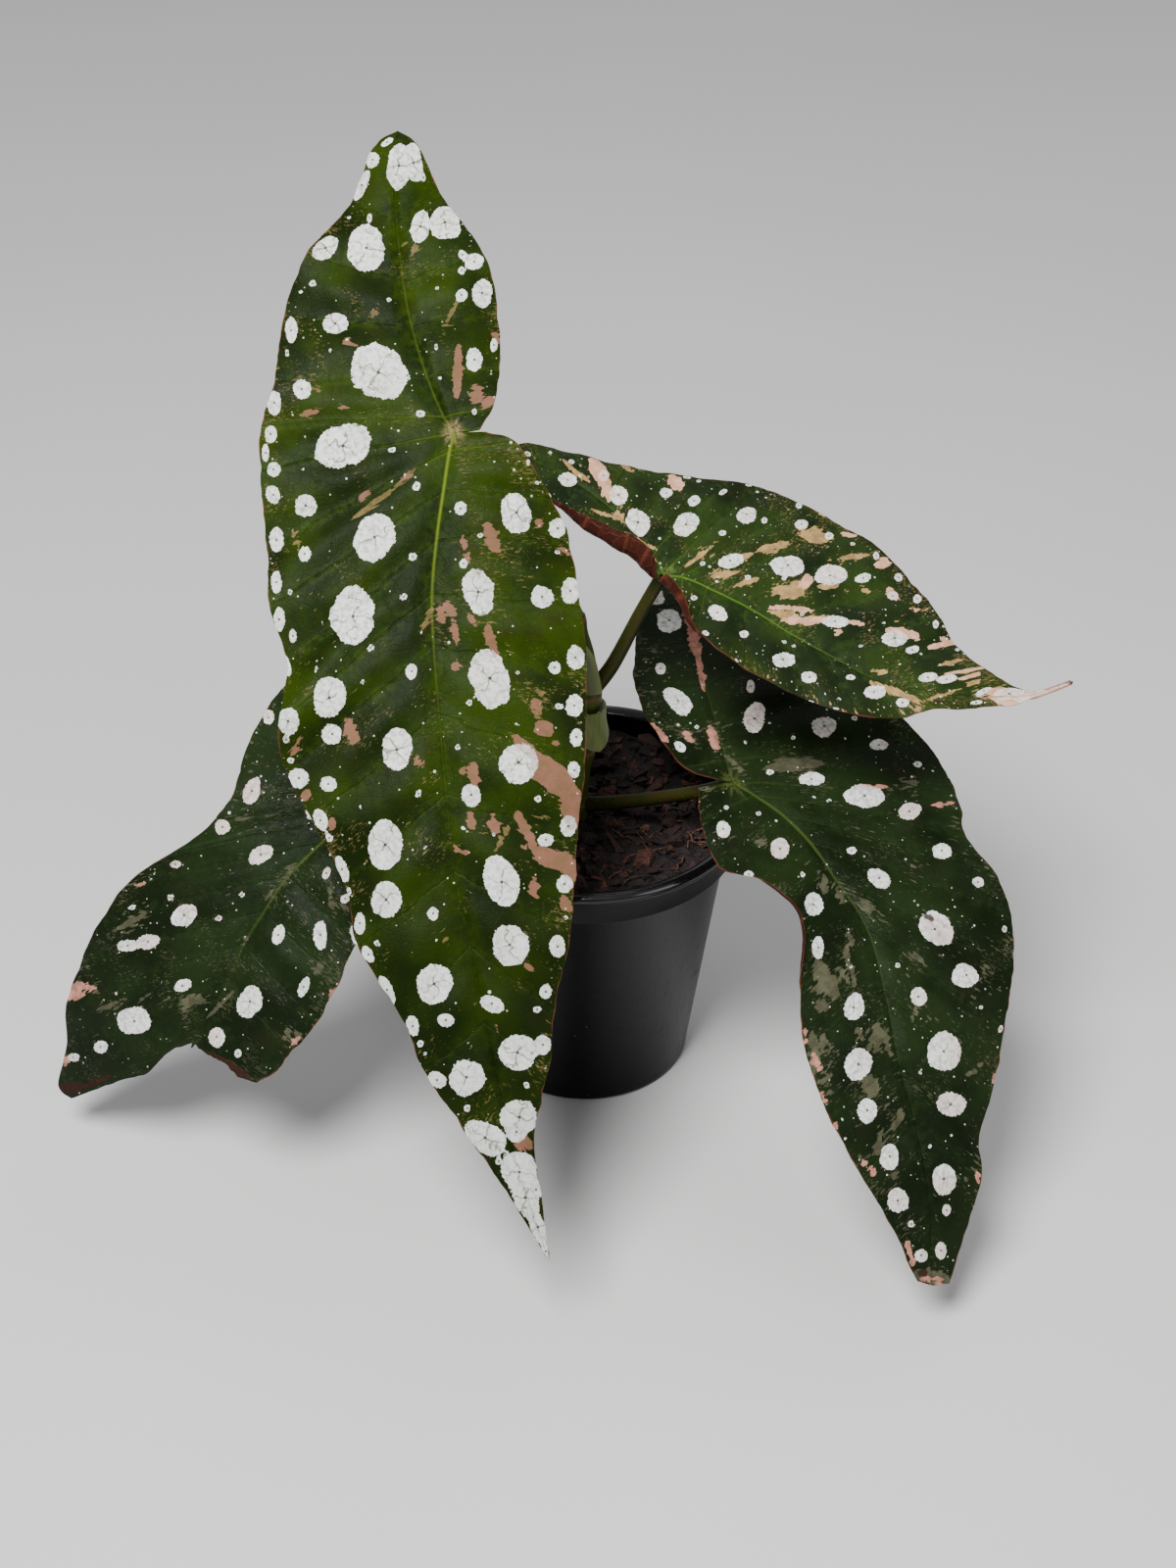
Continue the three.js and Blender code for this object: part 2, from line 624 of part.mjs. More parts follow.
function mixGeometry() {
  const random = seededRandom(MIX_SEED);
  const topRadius = COLLAR_RADIUS - POT_WALL - CHIP_LENGTH[1] / 2 - 1;
  const chips = Array.from({ length: BARK_CHIPS }, () => barkChip(random, topRadius));
  let mix = manifoldLibrary.Manifold.union([mixBody(), ...chips]);
  mix = mix.subtract(toSolid(caneGeometry(GAP)));
  for (const leaf of LEAVES) {
    mix = mix.subtract(toSolid(wholePetiole(leaf, GAP)));
  }
  return toGeometry(mix);
}

// ---------------------------------------------------------------- the plant in its pot

const plant = new THREE.Group();

function addPiece(name, geometry, material) {
  const mesh = new THREE.Mesh(geometry, material);
  mesh.name = name;
  plant.add(mesh);
  return mesh;
}

addPiece('pot', potGeometry(), POT_PLASTIC);
addPiece('potting_mix', mixGeometry(), BARK_MIX);
addPiece('cane', caneGeometry(), CANE_GREEN);
for (const stipule of STIPULES) {
  addPiece(`stipule_${stipule.name}`, stipuleGeometry(stipule), STIPULE_GREEN);
}
for (const leaf of LEAVES) {
  addPiece(`petiole_${leaf.name}`, petioleGeometry(leaf), PETIOLE_GREEN);
  const blade = addPiece(`blade_${leaf.name}`, bladeGeometry(leaf), BLADE_GREEN);
  bladeMatrix(leaf).decompose(blade.position, blade.quaternion, blade.scale);
}

export default plant;
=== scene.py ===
# %% [markdown]
# # A potted polka dot begonia
#
# The model that this script loads has every piece of the plant at its real size and in its real
# place: a nursery pot, potting mix, a short cane, two stipules, four leaf stalks and four leaf
# blades. Its surfaces are plain. The cells below dress it: each piece is made again as a finer
# mesh in the same place, and each surface gets a finish of its own, built from nodes.
#
# All lengths here are typed in millimetres, as on a workshop drawing, and `MM` turns them into
# the metres that Blender works in.

# %% Load the frame
import math
import random

import bmesh
import bpy
import numpy as np
from mathutils import Matrix, Vector, noise


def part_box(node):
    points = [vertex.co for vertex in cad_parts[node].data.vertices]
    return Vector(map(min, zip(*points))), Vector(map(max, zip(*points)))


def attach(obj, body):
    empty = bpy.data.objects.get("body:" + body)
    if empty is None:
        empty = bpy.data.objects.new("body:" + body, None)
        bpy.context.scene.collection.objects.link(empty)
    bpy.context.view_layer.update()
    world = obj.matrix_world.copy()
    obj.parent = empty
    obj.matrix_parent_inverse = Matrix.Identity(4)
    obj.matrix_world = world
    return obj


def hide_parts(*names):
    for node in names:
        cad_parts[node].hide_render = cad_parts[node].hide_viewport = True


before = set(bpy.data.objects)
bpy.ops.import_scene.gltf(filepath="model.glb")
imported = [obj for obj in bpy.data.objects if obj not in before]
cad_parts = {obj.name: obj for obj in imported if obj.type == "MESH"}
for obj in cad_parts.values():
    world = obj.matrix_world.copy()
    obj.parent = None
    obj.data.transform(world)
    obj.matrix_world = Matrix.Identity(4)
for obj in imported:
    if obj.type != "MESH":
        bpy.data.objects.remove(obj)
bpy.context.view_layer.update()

MM = 0.001
print("pieces in the frame:", ", ".join(sorted(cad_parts)))

# %% [markdown]
# ## The camera
#
# The camera stands a little over half a metre in front of the pot and nearly as high above its
# foot. It looks down at the plant, so that the front blade is seen nearly face on. The lens and
# the place below belong together: moved nearer with a wider lens, the front blade would look too
# large against the pot.

# %% Camera
CAMERA_PLACE = (0.7, -533.8, 469.7)
CAMERA_DOWN = 35.56      # degrees below level
CAMERA_LENS = 50.0
CAMERA_SENSOR = 32.0
PICTURE = (1200, 1600)   # width and height of the picture, in pixels

camera = bpy.data.objects.new("Camera", bpy.data.cameras.new("Camera"))
bpy.context.scene.collection.objects.link(camera)
camera.data.lens = CAMERA_LENS
camera.data.sensor_width = CAMERA_SENSOR
camera.data.clip_start = 0.01
camera.location = Vector(CAMERA_PLACE) * MM
camera.rotation_euler = (math.radians(90 - CAMERA_DOWN), 0, 0)
bpy.context.scene.camera = camera


def to_pixels(points):
    """Where points in space, in mm, fall in the picture. The camera turns about X only."""
    offset = np.asarray(points, float) - np.array(CAMERA_PLACE)
    down = math.radians(CAMERA_DOWN)
    ahead = offset @ np.array([0, math.cos(down), -math.sin(down)])
    upward = offset @ np.array([0, math.sin(down), math.cos(down)])
    pixels_per_slope = max(PICTURE) * CAMERA_LENS / CAMERA_SENSOR
    return np.stack([
        PICTURE[0] / 2 + pixels_per_slope * offset[..., 0] / ahead,
        PICTURE[1] / 2 - pixels_per_slope * upward / ahead,
    ], axis=-1)


print("the pot's axis meets the floor at pixel", to_pixels([0, 0, 0]).round())

# %% [markdown]
# ## The floor and the light
#
# A leaf is judged by how its sheen rolls over the veins, so the light has to be broad and soft.
# One large lamp high at the front left makes the shape, a weaker one on the right opens the
# shadows, and a third from behind draws a thin line of light along the margins. The floor is a
# plain pale sheet, wide enough to fill the picture.

# %% Floor and lamps
FLOOR_SIZE = 6.0
PLANT_MIDDLE = (0, -0.02, 0.12)
SKY_COLOUR = (0.9, 0.92, 0.95, 1)
SKY_STRENGTH = 0.34
LAMPS = {                 # where each one stands, its width in metres and its power in watts
    "Key_lamp": ((-0.27, -0.5, 1.05), 0.5, 22),
    "Fill_lamp": ((1.1, -0.8, 0.9), 1.0, 6),
    "Back_lamp": ((0.3, 0.9, 1.5), 0.8, 4),
}

for name, (place, size, power) in LAMPS.items():
    lamp = bpy.data.objects.new(name, bpy.data.lights.new(name, "AREA"))
    bpy.context.scene.collection.objects.link(lamp)
    lamp.data.shape = "DISK"
    lamp.data.size = size
    lamp.data.energy = power
    lamp.location = place
    aim = Vector(PLANT_MIDDLE) - Vector(place)
    lamp.rotation_euler = aim.to_track_quat("-Z", "Y").to_euler()

world = bpy.data.worlds.new("Studio")
world.use_nodes = True
world.node_tree.nodes["Background"].inputs["Color"].default_value = SKY_COLOUR
world.node_tree.nodes["Background"].inputs["Strength"].default_value = SKY_STRENGTH
bpy.context.scene.world = world

bpy.ops.mesh.primitive_grid_add(x_subdivisions=8, y_subdivisions=8, size=FLOOR_SIZE)
floor = bpy.context.object
floor.name = "Floor"
print("lamps:", ", ".join(LAMPS))

# %% [markdown]
# ## Small tools for wiring nodes
#
# A finish is a tree of nodes, and typing every link by hand hides what it does. Most of these
# helpers add one node and hand back its output, so that a finish reads from top to bottom like a
# recipe: take this, roughen it, lay that colour over it where the mask is white.

# %% Node helpers
def plug(tree, socket, value):
    """Feeds a socket: with a link where the value is another socket, and directly otherwise."""
    if isinstance(value, bpy.types.NodeSocket):
        tree.links.new(value, socket)
    elif socket.type == "RGBA" and len(value) == 3:
        socket.default_value = (*value, 1)
    else:
        socket.default_value = value


def add_node(tree, kind, inputs=None, **settings):
    node = tree.nodes.new("ShaderNode" + kind)
    for name, value in settings.items():
        setattr(node, name, value)
    for name, value in (inputs or {}).items():
        plug(tree, node.inputs[name], value)
    return node


def maths(tree, operation, *values):
    node = add_node(tree, "Math", operation=operation)
    for socket, value in zip(node.inputs, values):
        plug(tree, socket, value)
    return node.outputs[0]


def times(tree, first, second):
    return maths(tree, "MULTIPLY", first, second)


def plus(tree, first, second):
    return maths(tree, "ADD", first, second)


def minus(tree, first, second):
    return maths(tree, "SUBTRACT", first, second)


def times_plus(tree, value, factor, base):
    """The value times the factor, and the base added."""
    return maths(tree, "MULTIPLY_ADD", value, factor, base)


def scaled(tree, vector, factors):
    node = add_node(tree, "VectorMath", {0: vector, 1: factors}, operation="MULTIPLY")
    return node.outputs[0]


def ramp(tree, value, low, high, smooth=True):
    """0 where the value is at low, 1 where it is at high, and between them in between."""
    names = {"Value": value, "From Min": low, "From Max": high}
    kind = "SMOOTHSTEP" if smooth else "LINEAR"
    return add_node(tree, "MapRange", names, interpolation_type=kind).outputs[0]


def blend_colours(tree, share, first, second):
    node = add_node(tree, "Mix", {0: share, 6: first, 7: second}, data_type="RGBA")
    return node.outputs[2]


def over(tree, mask, strength, colour, ground):
    """Lays a colour over the ground where a mask is white."""
    return blend_colours(tree, times(tree, mask, strength), ground, colour)


def noise_at(tree, vector, scale, detail=3.0, roughness=0.5):
    names = {"Vector": vector, "Scale": scale, "Detail": detail, "Roughness": roughness}
    return add_node(tree, "TexNoise", names).outputs["Fac"]


def reading(tree, name, output="Fac"):
    """A value that was stored on every point of a mesh."""
    return add_node(tree, "Attribute", attribute_name=name).outputs[output]


def place_in_mm(tree):
    """The place on a piece, in the plant's own frame."""
    return scaled(tree, add_node(tree, "TexCoord").outputs["Object"], (1000, 1000, 1000))


def parts_of(tree, vector):
    """The X, Y and Z of a vector."""
    return add_node(tree, "SeparateXYZ", {"Vector": vector}).outputs


def new_finish(name):
    """An empty material, with its tree and its main shader."""
    material = bpy.data.materials.new(name)
    material.use_nodes = True
    return material, material.node_tree, material.node_tree.nodes["Principled BSDF"]


def bumped(tree, height, strength, distance):
    """A normal that follows a height. The distance is in metres, as deep as the relief is."""
    names = {"Height": height, "Strength": strength, "Distance": distance}
    return add_node(tree, "Bump", names).outputs["Normal"]


def coat_with(tree, shader, colour, roughness, normal, plain=None):
    """Feeds the main shader. The plain values are the same all over the surface, so they are
    typed into its own sockets."""
    plug(tree, shader.inputs["Base Color"], colour)
    plug(tree, shader.inputs["Roughness"], roughness)
    plug(tree, shader.inputs["Normal"], normal)
    for name, value in (plain or {}).items():
        shader.inputs[name].default_value = value


def new_effect(name, outputs, **inputs):
    """An empty node group. Each output is one number. An input is a number too, with its
    default, or a place where the default is None."""
    tree = bpy.data.node_groups.new(name, "ShaderNodeTree")
    for label, default in inputs.items():
        kind = "NodeSocketVector" if default is None else "NodeSocketFloat"
        socket = tree.interface.new_socket(label.replace("_", " "), in_out="INPUT",
                                           socket_type=kind)
        if default is not None:
            socket.default_value = default
    for label in outputs:
        tree.interface.new_socket(label, in_out="OUTPUT", socket_type="NodeSocketFloat")
    return tree, tree.nodes.new("NodeGroupInput").outputs, tree.nodes.new("NodeGroupOutput").inputs


def effect(tree, group, **inputs):
    """Places a node group in a finish with its own values, and returns its outputs."""
    node = add_node(tree, "Group", node_tree=group)
    for name, value in inputs.items():
        plug(tree, node.inputs[name.replace("_", " ")], value)
    return node.outputs

# %% [markdown]
# ## Effects that several finishes share
#
# Four things come back on almost every surface of this plant, so each is a node group, built once
# and placed wherever it is needed with other values:
#
# * **Ragged patch** turns a smooth distance to an outline into a mask with a torn, scalloped edge.
# * **Scattered dots** sprinkles specks, each of its own size, and leaves most places bare.
# * **Leaf veins** draws the midrib and the side veins, which lie at whole rows of the blade, and
#   adds the fine net between them.
# * **Plant skin** is the slight cloudiness and the pores of a smooth living surface.

# %% Ragged patch
ragged_patch, given, result = new_effect(
    "Ragged patch", ["Mask"], Distance=0.0, Place=None, Raggedness=0.5, Lump_Size=1.0,
    Softness=0.08)
tree = ragged_patch
lumps = noise_at(tree, given["Place"], maths(tree, "DIVIDE", 1.0, given["Lump Size"]), detail=2.5)
push = times(tree, minus(tree, lumps, 0.5), times(tree, given["Raggedness"], 2.0))
edge = plus(tree, given["Distance"], push)
plug(tree, result["Mask"],
     ramp(tree, edge, times(tree, given["Softness"], -1.0), given["Softness"]))
print("effect:", ragged_patch.name)


def torn_mask(tree, distance, place, raggedness, lump_size, softness):
    return effect(tree, ragged_patch, Distance=distance, Place=place, Raggedness=raggedness,
                  Lump_Size=lump_size, Softness=softness)["Mask"]

# %% Scattered dots
scattered_dots, given, result = new_effect(
    "Scattered dots", ["Mask"], Place=None, Spacing=3.0, Largest=0.5, Share=0.3)
tree = scattered_dots
cells = add_node(tree, "TexVoronoi", {
    "Vector": given["Place"],
    "Scale": maths(tree, "DIVIDE", 1.0, given["Spacing"]),
    "Randomness": 1.0,
})
distance_mm = times(tree, cells.outputs["Distance"], given["Spacing"])
luck = add_node(tree, "SeparateColor", {"Color": cells.outputs["Color"]}).outputs
chosen = maths(tree, "LESS_THAN", luck[0], given["Share"])
own_size = times(tree, given["Largest"], times_plus(tree, luck[1], 0.65, 0.35))
inside = ramp(tree, minus(tree, own_size, distance_mm), -0.06, 0.06)
plug(tree, result["Mask"], times(tree, inside, chosen))
print("effect:", scattered_dots.name)


def dots_mask(tree, place, spacing, largest, share):
    return effect(tree, scattered_dots, Place=place, Spacing=spacing, Largest=largest,
                  Share=share)["Mask"]

# %% Leaf veins
leaf_veins, given, result = new_effect(
    "Leaf veins", ["Midrib", "Side Veins", "Net"], Row=0.0, Spacing=10.0, Rib_Distance=0.0,
    Place=None, Rib_Width=1.0, Vein_Width=0.5)
tree = leaf_veins
wander = times(tree, minus(tree, noise_at(tree, given["Place"], 0.12), 0.5), 0.25)
off_vein = maths(tree, "PINGPONG", plus(tree, given["Row"], wander), 0.5)
vein_mm = times(tree, off_vein, given["Spacing"])
plug(tree, result["Midrib"], ramp(tree, given["Rib Distance"], given["Rib Width"], 0.0))
plug(tree, result["Side Veins"], ramp(tree, vein_mm, given["Vein Width"], 0.0))
push = add_node(tree, "TexNoise", {"Vector": given["Place"], "Scale": 0.4}).outputs["Color"]
net_place = add_node(tree, "VectorMath", {0: given["Place"], 1: push}, operation="ADD").outputs[0]
net_cells = add_node(tree, "TexVoronoi", {"Vector": net_place, "Scale": 0.38},
                     feature="DISTANCE_TO_EDGE")
plug(tree, result["Net"], ramp(tree, net_cells.outputs["Distance"], 0.09, 0.0))
print("effect:", leaf_veins.name)


def veins_on_blade(tree, place, rib_width, vein_width):
    """The veins of a blade, from the measurements that are stored on its points."""
    return effect(tree, leaf_veins, Row=reading(tree, "row"), Spacing=reading(tree, "spacing"),
                  Rib_Distance=reading(tree, "rib_mm"), Place=place, Rib_Width=rib_width,
                  Vein_Width=vein_width)

# %% Plant skin
plant_skin, given, result = new_effect(
    "Plant skin", ["Clouds", "Relief"], Place=None, Cloud_Size=8.0, Pore_Size=0.4)
tree = plant_skin
plug(tree, result["Clouds"],
     noise_at(tree, given["Place"], maths(tree, "DIVIDE", 1.0, given["Cloud Size"])))
pores = add_node(tree, "TexVoronoi", {
    "Vector": given["Place"], "Scale": maths(tree, "DIVIDE", 1.0, given["Pore Size"])})
plug(tree, result["Relief"], pores.outputs["Distance"])
print("effect:", plant_skin.name)

# %% [markdown]
# ## The floor's finish
#
# Even a plain floor isn't one flat colour. A very faint cloudiness in its tone and roughness is
# enough to stop it from looking like a painted background.

# %% Floor finish
floor_finish, tree, shader = new_finish("Floor paper")
place = add_node(tree, "NewGeometry").outputs["Position"]
clouds = noise_at(tree, place, 3.0)
coat_with(tree, shader,
          colour=blend_colours(tree, clouds, (0.62, 0.62, 0.61), (0.68, 0.68, 0.67)),
          roughness=ramp(tree, clouds, -1.0, 2.4, smooth=False),
          normal=bumped(tree, noise_at(tree, place, 900.0), 0.15, 0.0002))
floor.data.materials.append(floor_finish)
print("finish:", floor_finish.name)

# %% [markdown]
# ## Small tools for making meshes
#
# Most pieces here are sheets and tubes that follow a smooth curve. The curve runs through all its
# given points, so the numbers in this script are places on the real plant. Every mesh keeps its
# own measurements as named values on its points, in millimetres, and the finishes read them.

# %% Curves and meshes
def curve_at(points, t):
    """The smooth curve through the points, at t, which counts them from 0."""
    points = np.asarray(points, float)
    t = np.asarray(t, float)
    ends = [2 * points[0] - points[1], 2 * points[-1] - points[-2]]
    every = np.vstack([ends[0], points, ends[1]])
    start = np.clip(np.floor(t).astype(int), 0, len(points) - 2)
    f = (t - start)[..., None]
    p0, p1, p2, p3 = (every[start + k] for k in range(4))
    square = 2 * p0 - 5 * p1 + 4 * p2 - p3
    cube = 3 * p1 - p0 - 3 * p2 + p3
    return 0.5 * (2 * p1 + (p2 - p0) * f + square * f ** 2 + cube * f ** 3)


def even_points(points, count):
    """Points at even steps along the smooth curve through the given ones."""
    dense = curve_at(points, np.linspace(0, len(points) - 1, 60 * len(points)))
    length = np.concatenate([[0], np.cumsum(np.linalg.norm(np.diff(dense, axis=0), axis=1))])
    at = np.linspace(0, length[-1], count)
    return np.stack([np.interp(at, length, dense[:, k]) for k in range(3)], axis=1)


def unit(vector):
    vector = np.asarray(vector, float)
    return vector / np.linalg.norm(vector, axis=-1, keepdims=True)


def store(mesh, name, values):
    """Stores one number or one vector for each point of a mesh, for its finish to read."""
    values = np.asarray(values, np.float32)
    if values.ndim == 1:
        mesh.attributes.new(name, "FLOAT", "POINT").data.foreach_set("value", values)
    else:
        mesh.attributes.new(name, "FLOAT_VECTOR", "POINT").data.foreach_set(
            "vector", values.ravel())


def face_outward(mesh):
    shape = bmesh.new()
    shape.from_mesh(mesh)
    bmesh.ops.recalc_face_normals(shape, faces=shape.faces)
    shape.to_mesh(mesh)
    shape.free()


def make_piece(name, points, faces, finishes, stored=None, sharp=40):
    """A piece of the plant from points in mm. It rides on the one body, and takes the CAD node
    of the same name in lower case out of sight."""
    mesh = bpy.data.meshes.new(name)
    mesh.from_pydata((np.asarray(points) * MM).tolist(), [], faces)
    for label, values in (stored or {}).items():
        store(mesh, label, values)
    for finish in finishes:
        mesh.materials.append(finish)
    face_outward(mesh)
    mesh.shade_smooth()
    mesh.set_sharp_from_angle(angle=math.radians(sharp))
    piece = bpy.data.objects.new(name, mesh)
    bpy.context.scene.collection.objects.link(piece)
    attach(piece, "root")
    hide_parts(name.lower())
    print(f"{name}: {len(mesh.vertices)} points, {len(mesh.polygons)} faces")
    return piece


def grid_faces(grid):
    """The faces of a grid of point numbers. A square with two equal corners becomes a triangle."""
    faces = []
    for row, after in zip(grid[:-1], grid[1:]):
        for a, b, c, d in zip(row[:-1], after[:-1], after[1:], row[1:]):
            face = list(dict.fromkeys((a, b, c, d)))
            if len(face) > 2:
                faces.append(face)
    return faces


def tube(path, radii, sides):
    """A round closed tube round a path in mm: its points and its faces."""
    count = len(path)
    forward = unit(np.gradient(path, axis=0))
    across = unit(np.cross(forward[0], [0.3, 0.9, 0.1]))
    points = []
    for i in range(count):
        across = unit(across - forward[i] * (across @ forward[i]))
        third = np.cross(forward[i], across)
        for turn in 2 * math.pi * np.arange(sides) / sides:
            points.append(path[i] + radii[i] * (math.cos(turn) * across + math.sin(turn) * third))
    grid = [[i * sides + j for j in [*range(sides), 0]] for i in range(count)]
    faces = [face[::-1] for face in grid_faces(grid)]
    faces.append(list(range(sides))[::-1])
    faces.append([(count - 1) * sides + j for j in range(sides)])
    return np.array(points), faces


print("mesh tools are ready")

# %% [markdown]
# ## The pot
#
# A nursery pot is blown or pressed from thin plastic. Its wall is a plain taper, its collar steps
# out so that pots can be lifted and stacked, and its lip is a rolled bead, which is what catches
# the light. A cylinder with a bevel would miss that bead, so the pot is turned from a profile:
# a list of radius and height, spun round the axis. The drain holes are then cut through the floor.

# %% Pot profile
POT_LOW, POT_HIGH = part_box("pot")
LIP_RADIUS = (POT_HIGH.x - POT_LOW.x) / 2 / MM
POT_HEIGHT = POT_HIGH.z / MM
COLLAR_RADIUS = 42
COLLAR_FOOT = 73.5
WALL_TOP = 71
WALL_TOP_RADIUS = 38.4
BASE_RADIUS = 29
POT_WALL = 1.1
LIP_BEAD = 1.55           # radius of the rolled bead
DRAIN_HOLES = 8
DRAIN_HOLE_RADIUS = 3.5
DRAIN_RING_RADIUS = 21
ROUND_STEPS = 192


def arc(centre, radius, first, last, count):
    """Points on part of a circle, from one angle in degrees to another."""
    angles = np.radians(np.linspace(first, last, count))
    return [(centre[0] + radius * math.cos(a), centre[1] + radius * math.sin(a)) for a in angles]


def spin(profile, steps):
    """Spins a profile that starts and ends on the axis."""
    points, grid = [], []
    for radius, height in profile:
        if radius == 0:
            grid.append([len(points)] * (steps + 1))
            points.append((0, 0, height))
            continue
        grid.append([len(points) + j % steps for j in range(steps + 1)])
        points += [(radius * math.cos(t), radius * math.sin(t), height)
                   for t in np.linspace(0, 2 * math.pi, steps, endpoint=False)]
    return points, [face[::-1] for face in grid_faces(grid)]


bead = (LIP_RADIUS - LIP_BEAD, POT_HEIGHT - LIP_BEAD)
inner_collar = COLLAR_RADIUS - POT_WALL
POT_PROFILE = [
    (0, 1.2), (12, 1.2),                                    # the floor is raised in the middle
    *arc((12, 0.6), 0.6, 60, 0, 3)[1:],
    (BASE_RADIUS - 5, 0), *arc((BASE_RADIUS - 1.5, 1.5), 1.5, -90, 0, 6),
    (WALL_TOP_RADIUS, WALL_TOP), (WALL_TOP_RADIUS + 0.6, WALL_TOP + 0.7),
    *arc((COLLAR_RADIUS - 0.8, COLLAR_FOOT + 0.5), 0.8, -60, 0, 5),
    (COLLAR_RADIUS, bead[1] - LIP_BEAD - 0.5),
    (COLLAR_RADIUS + 0.3, bead[1] - LIP_BEAD),
    *arc(bead, LIP_BEAD, -75, 110, 14),
    *arc((inner_collar + 1.0, POT_HEIGHT - 1.6), 1.0, 120, 180, 5),
    (inner_collar, COLLAR_FOOT), (WALL_TOP_RADIUS - POT_WALL, WALL_TOP),
    (BASE_RADIUS - POT_WALL, 2.5), (0, 2.5),
]
print("the pot's profile has", len(POT_PROFILE), "points")

# %% [markdown]
# The plastic is black with a satin gloss. Real ones have a faint orange-peel in the surface, fine
# scratches from stacking, and a bloom of dust with dried specks of mix. The dust is lighter and
# rougher than the plastic, so one mask drives both. Hands polish the lip itself, so it has a thin
# glossy coat that the wall lacks.

# %% Pot finish
pot_finish, tree, shader = new_finish("Black pot plastic")
place = place_in_mm(tree)
dust = torn_mask(tree, -0.75, place, raggedness=1.6, lump_size=9.0, softness=0.5)
specks = dots_mask(tree, place, spacing=4.0, largest=0.35, share=0.35)
scratches = noise_at(tree, scaled(tree, place, (1.4, 1.4, 0.03)), 1.0, detail=4.0)
black = over(tree, dust, 0.25, (0.016, 0.013, 0.011), (0.0025, 0.0025, 0.003))
black = over(tree, specks, 0.8, (0.10, 0.065, 0.045), black)
roughness = plus(tree, times_plus(tree, dust, 0.22, 0.26), times(tree, scratches, 0.12))
orange_peel = plus(tree, noise_at(tree, place, 0.9), scratches)
coat_with(tree, shader, black, roughness, bumped(tree, orange_peel, 0.12, 0.0002),
          {"Specular IOR Level": 0.13, "Coat Roughness": 0.12})
plug(tree, shader.inputs["Coat Weight"],
     ramp(tree, parts_of(tree, place)["Z"], POT_HEIGHT - 2, POT_HEIGHT - 1))
print("finish:", pot_finish.name)

# %% Pot
def cut_away(mesh, cutter_mesh):
    """The mesh with another one cut out of it."""
    target = bpy.data.objects.new("target", mesh)
    cutter = bpy.data.objects.new("cutter", cutter_mesh)
    for part in (target, cutter):
        bpy.context.scene.collection.objects.link(part)
    modifier = target.modifiers.new("cut", "BOOLEAN")
    modifier.operation = "DIFFERENCE"
    modifier.solver = "EXACT"
    modifier.object = cutter
    seen = target.evaluated_get(bpy.context.evaluated_depsgraph_get())
    result = bpy.data.meshes.new_from_object(seen)
    for part in (target, cutter):
        bpy.data.objects.remove(part)
    return result


def drain_drills():
    shape = bmesh.new()
    for i in range(DRAIN_HOLES):
        angle = 2 * math.pi * (i + 0.5) / DRAIN_HOLES
        spot = Vector((math.cos(angle), math.sin(angle), 0)) * DRAIN_RING_RADIUS * MM
        bmesh.ops.create_cone(
            shape, cap_ends=True, segments=32, depth=8 * MM, radius1=DRAIN_HOLE_RADIUS * MM,
            radius2=DRAIN_HOLE_RADIUS * MM, matrix=Matrix.Translation(spot))
    drills = bpy.data.meshes.new("drills")
    shape.to_mesh(drills)
    shape.free()
    return drills


pot_points, pot_faces = spin(POT_PROFILE, ROUND_STEPS)
pot = make_piece("Pot", pot_points, pot_faces, [pot_finish])
pot.data = cut_away(pot.data, drain_drills())
pot.data.shade_smooth()
pot.data.set_sharp_from_angle(angle=math.radians(40))
print("the pot has", len(pot.data.polygons), "faces with its holes")

# %% [markdown]
# ## The potting mix
#
# Begonia mix is mostly bark and coir. Seen close, it is a heap of broken flat chips in all sizes,
# with a few pale fibres, and hardly any surface between them. A bumpy disc alone looks like
# chocolate, so the disc is only the bed here: hundreds of chips lie on it, each one a small
# convex block with its own proportions, tilt and tone, and thin fibres are strewn among them.

# %% Mix surface
MIX_TOP = 78
MIX_ROUGHNESS = 1.3
MIX_TO_WALL = 0.15
MIX_RADIUS = inner_collar - MIX_TO_WALL
MIX_RINGS = 44
MIX_STEPS = 144           # round each ring
MIX_FLOOR = 2.6
random.seed(7)


def mix_level(x, y):
    broad = math.sin(0.21 * x + 1.3) * math.cos(0.17 * y - 0.4)
    fine = math.sin(0.63 * x - 0.5 * y) * math.sin(0.71 * y + 0.31 * x)
    crumbs = noise.noise(Vector((x, y, 0)) * 0.55)
    return MIX_TOP + MIX_ROUGHNESS * (0.7 * broad + 0.6 * fine + 0.7 * crumbs)


def mix_bed():
    """The body of the mix: rings of points from the middle of its top down to its floor."""
    points = [(0, 0, mix_level(0, 0))]
    grid = [[0] * (MIX_STEPS + 1)]

    def ring(radius, level=None):
        grid.append([len(points) + j % MIX_STEPS for j in range(MIX_STEPS + 1)])
        for t in np.linspace(0, 2 * math.pi, MIX_STEPS, endpoint=False):
            x, y = radius * math.cos(t), radius * math.sin(t)
            points.append((x, y, mix_level(x, y) if level is None else level))

    for i in range(1, MIX_RINGS + 1):
        ring(MIX_RADIUS * i / MIX_RINGS)
    ring(MIX_RADIUS, COLLAR_FOOT)
    ring(WALL_TOP_RADIUS - POT_WALL - MIX_TO_WALL, WALL_TOP)
    ring(BASE_RADIUS - POT_WALL - MIX_TO_WALL, MIX_FLOOR)
    grid.append([len(points)] * (MIX_STEPS + 1))
    points.append((0, 0, MIX_FLOOR))
    return points, grid_faces(grid)


bed_points, bed_faces = mix_bed()
print("the bed of mix has", len(bed_faces), "faces")

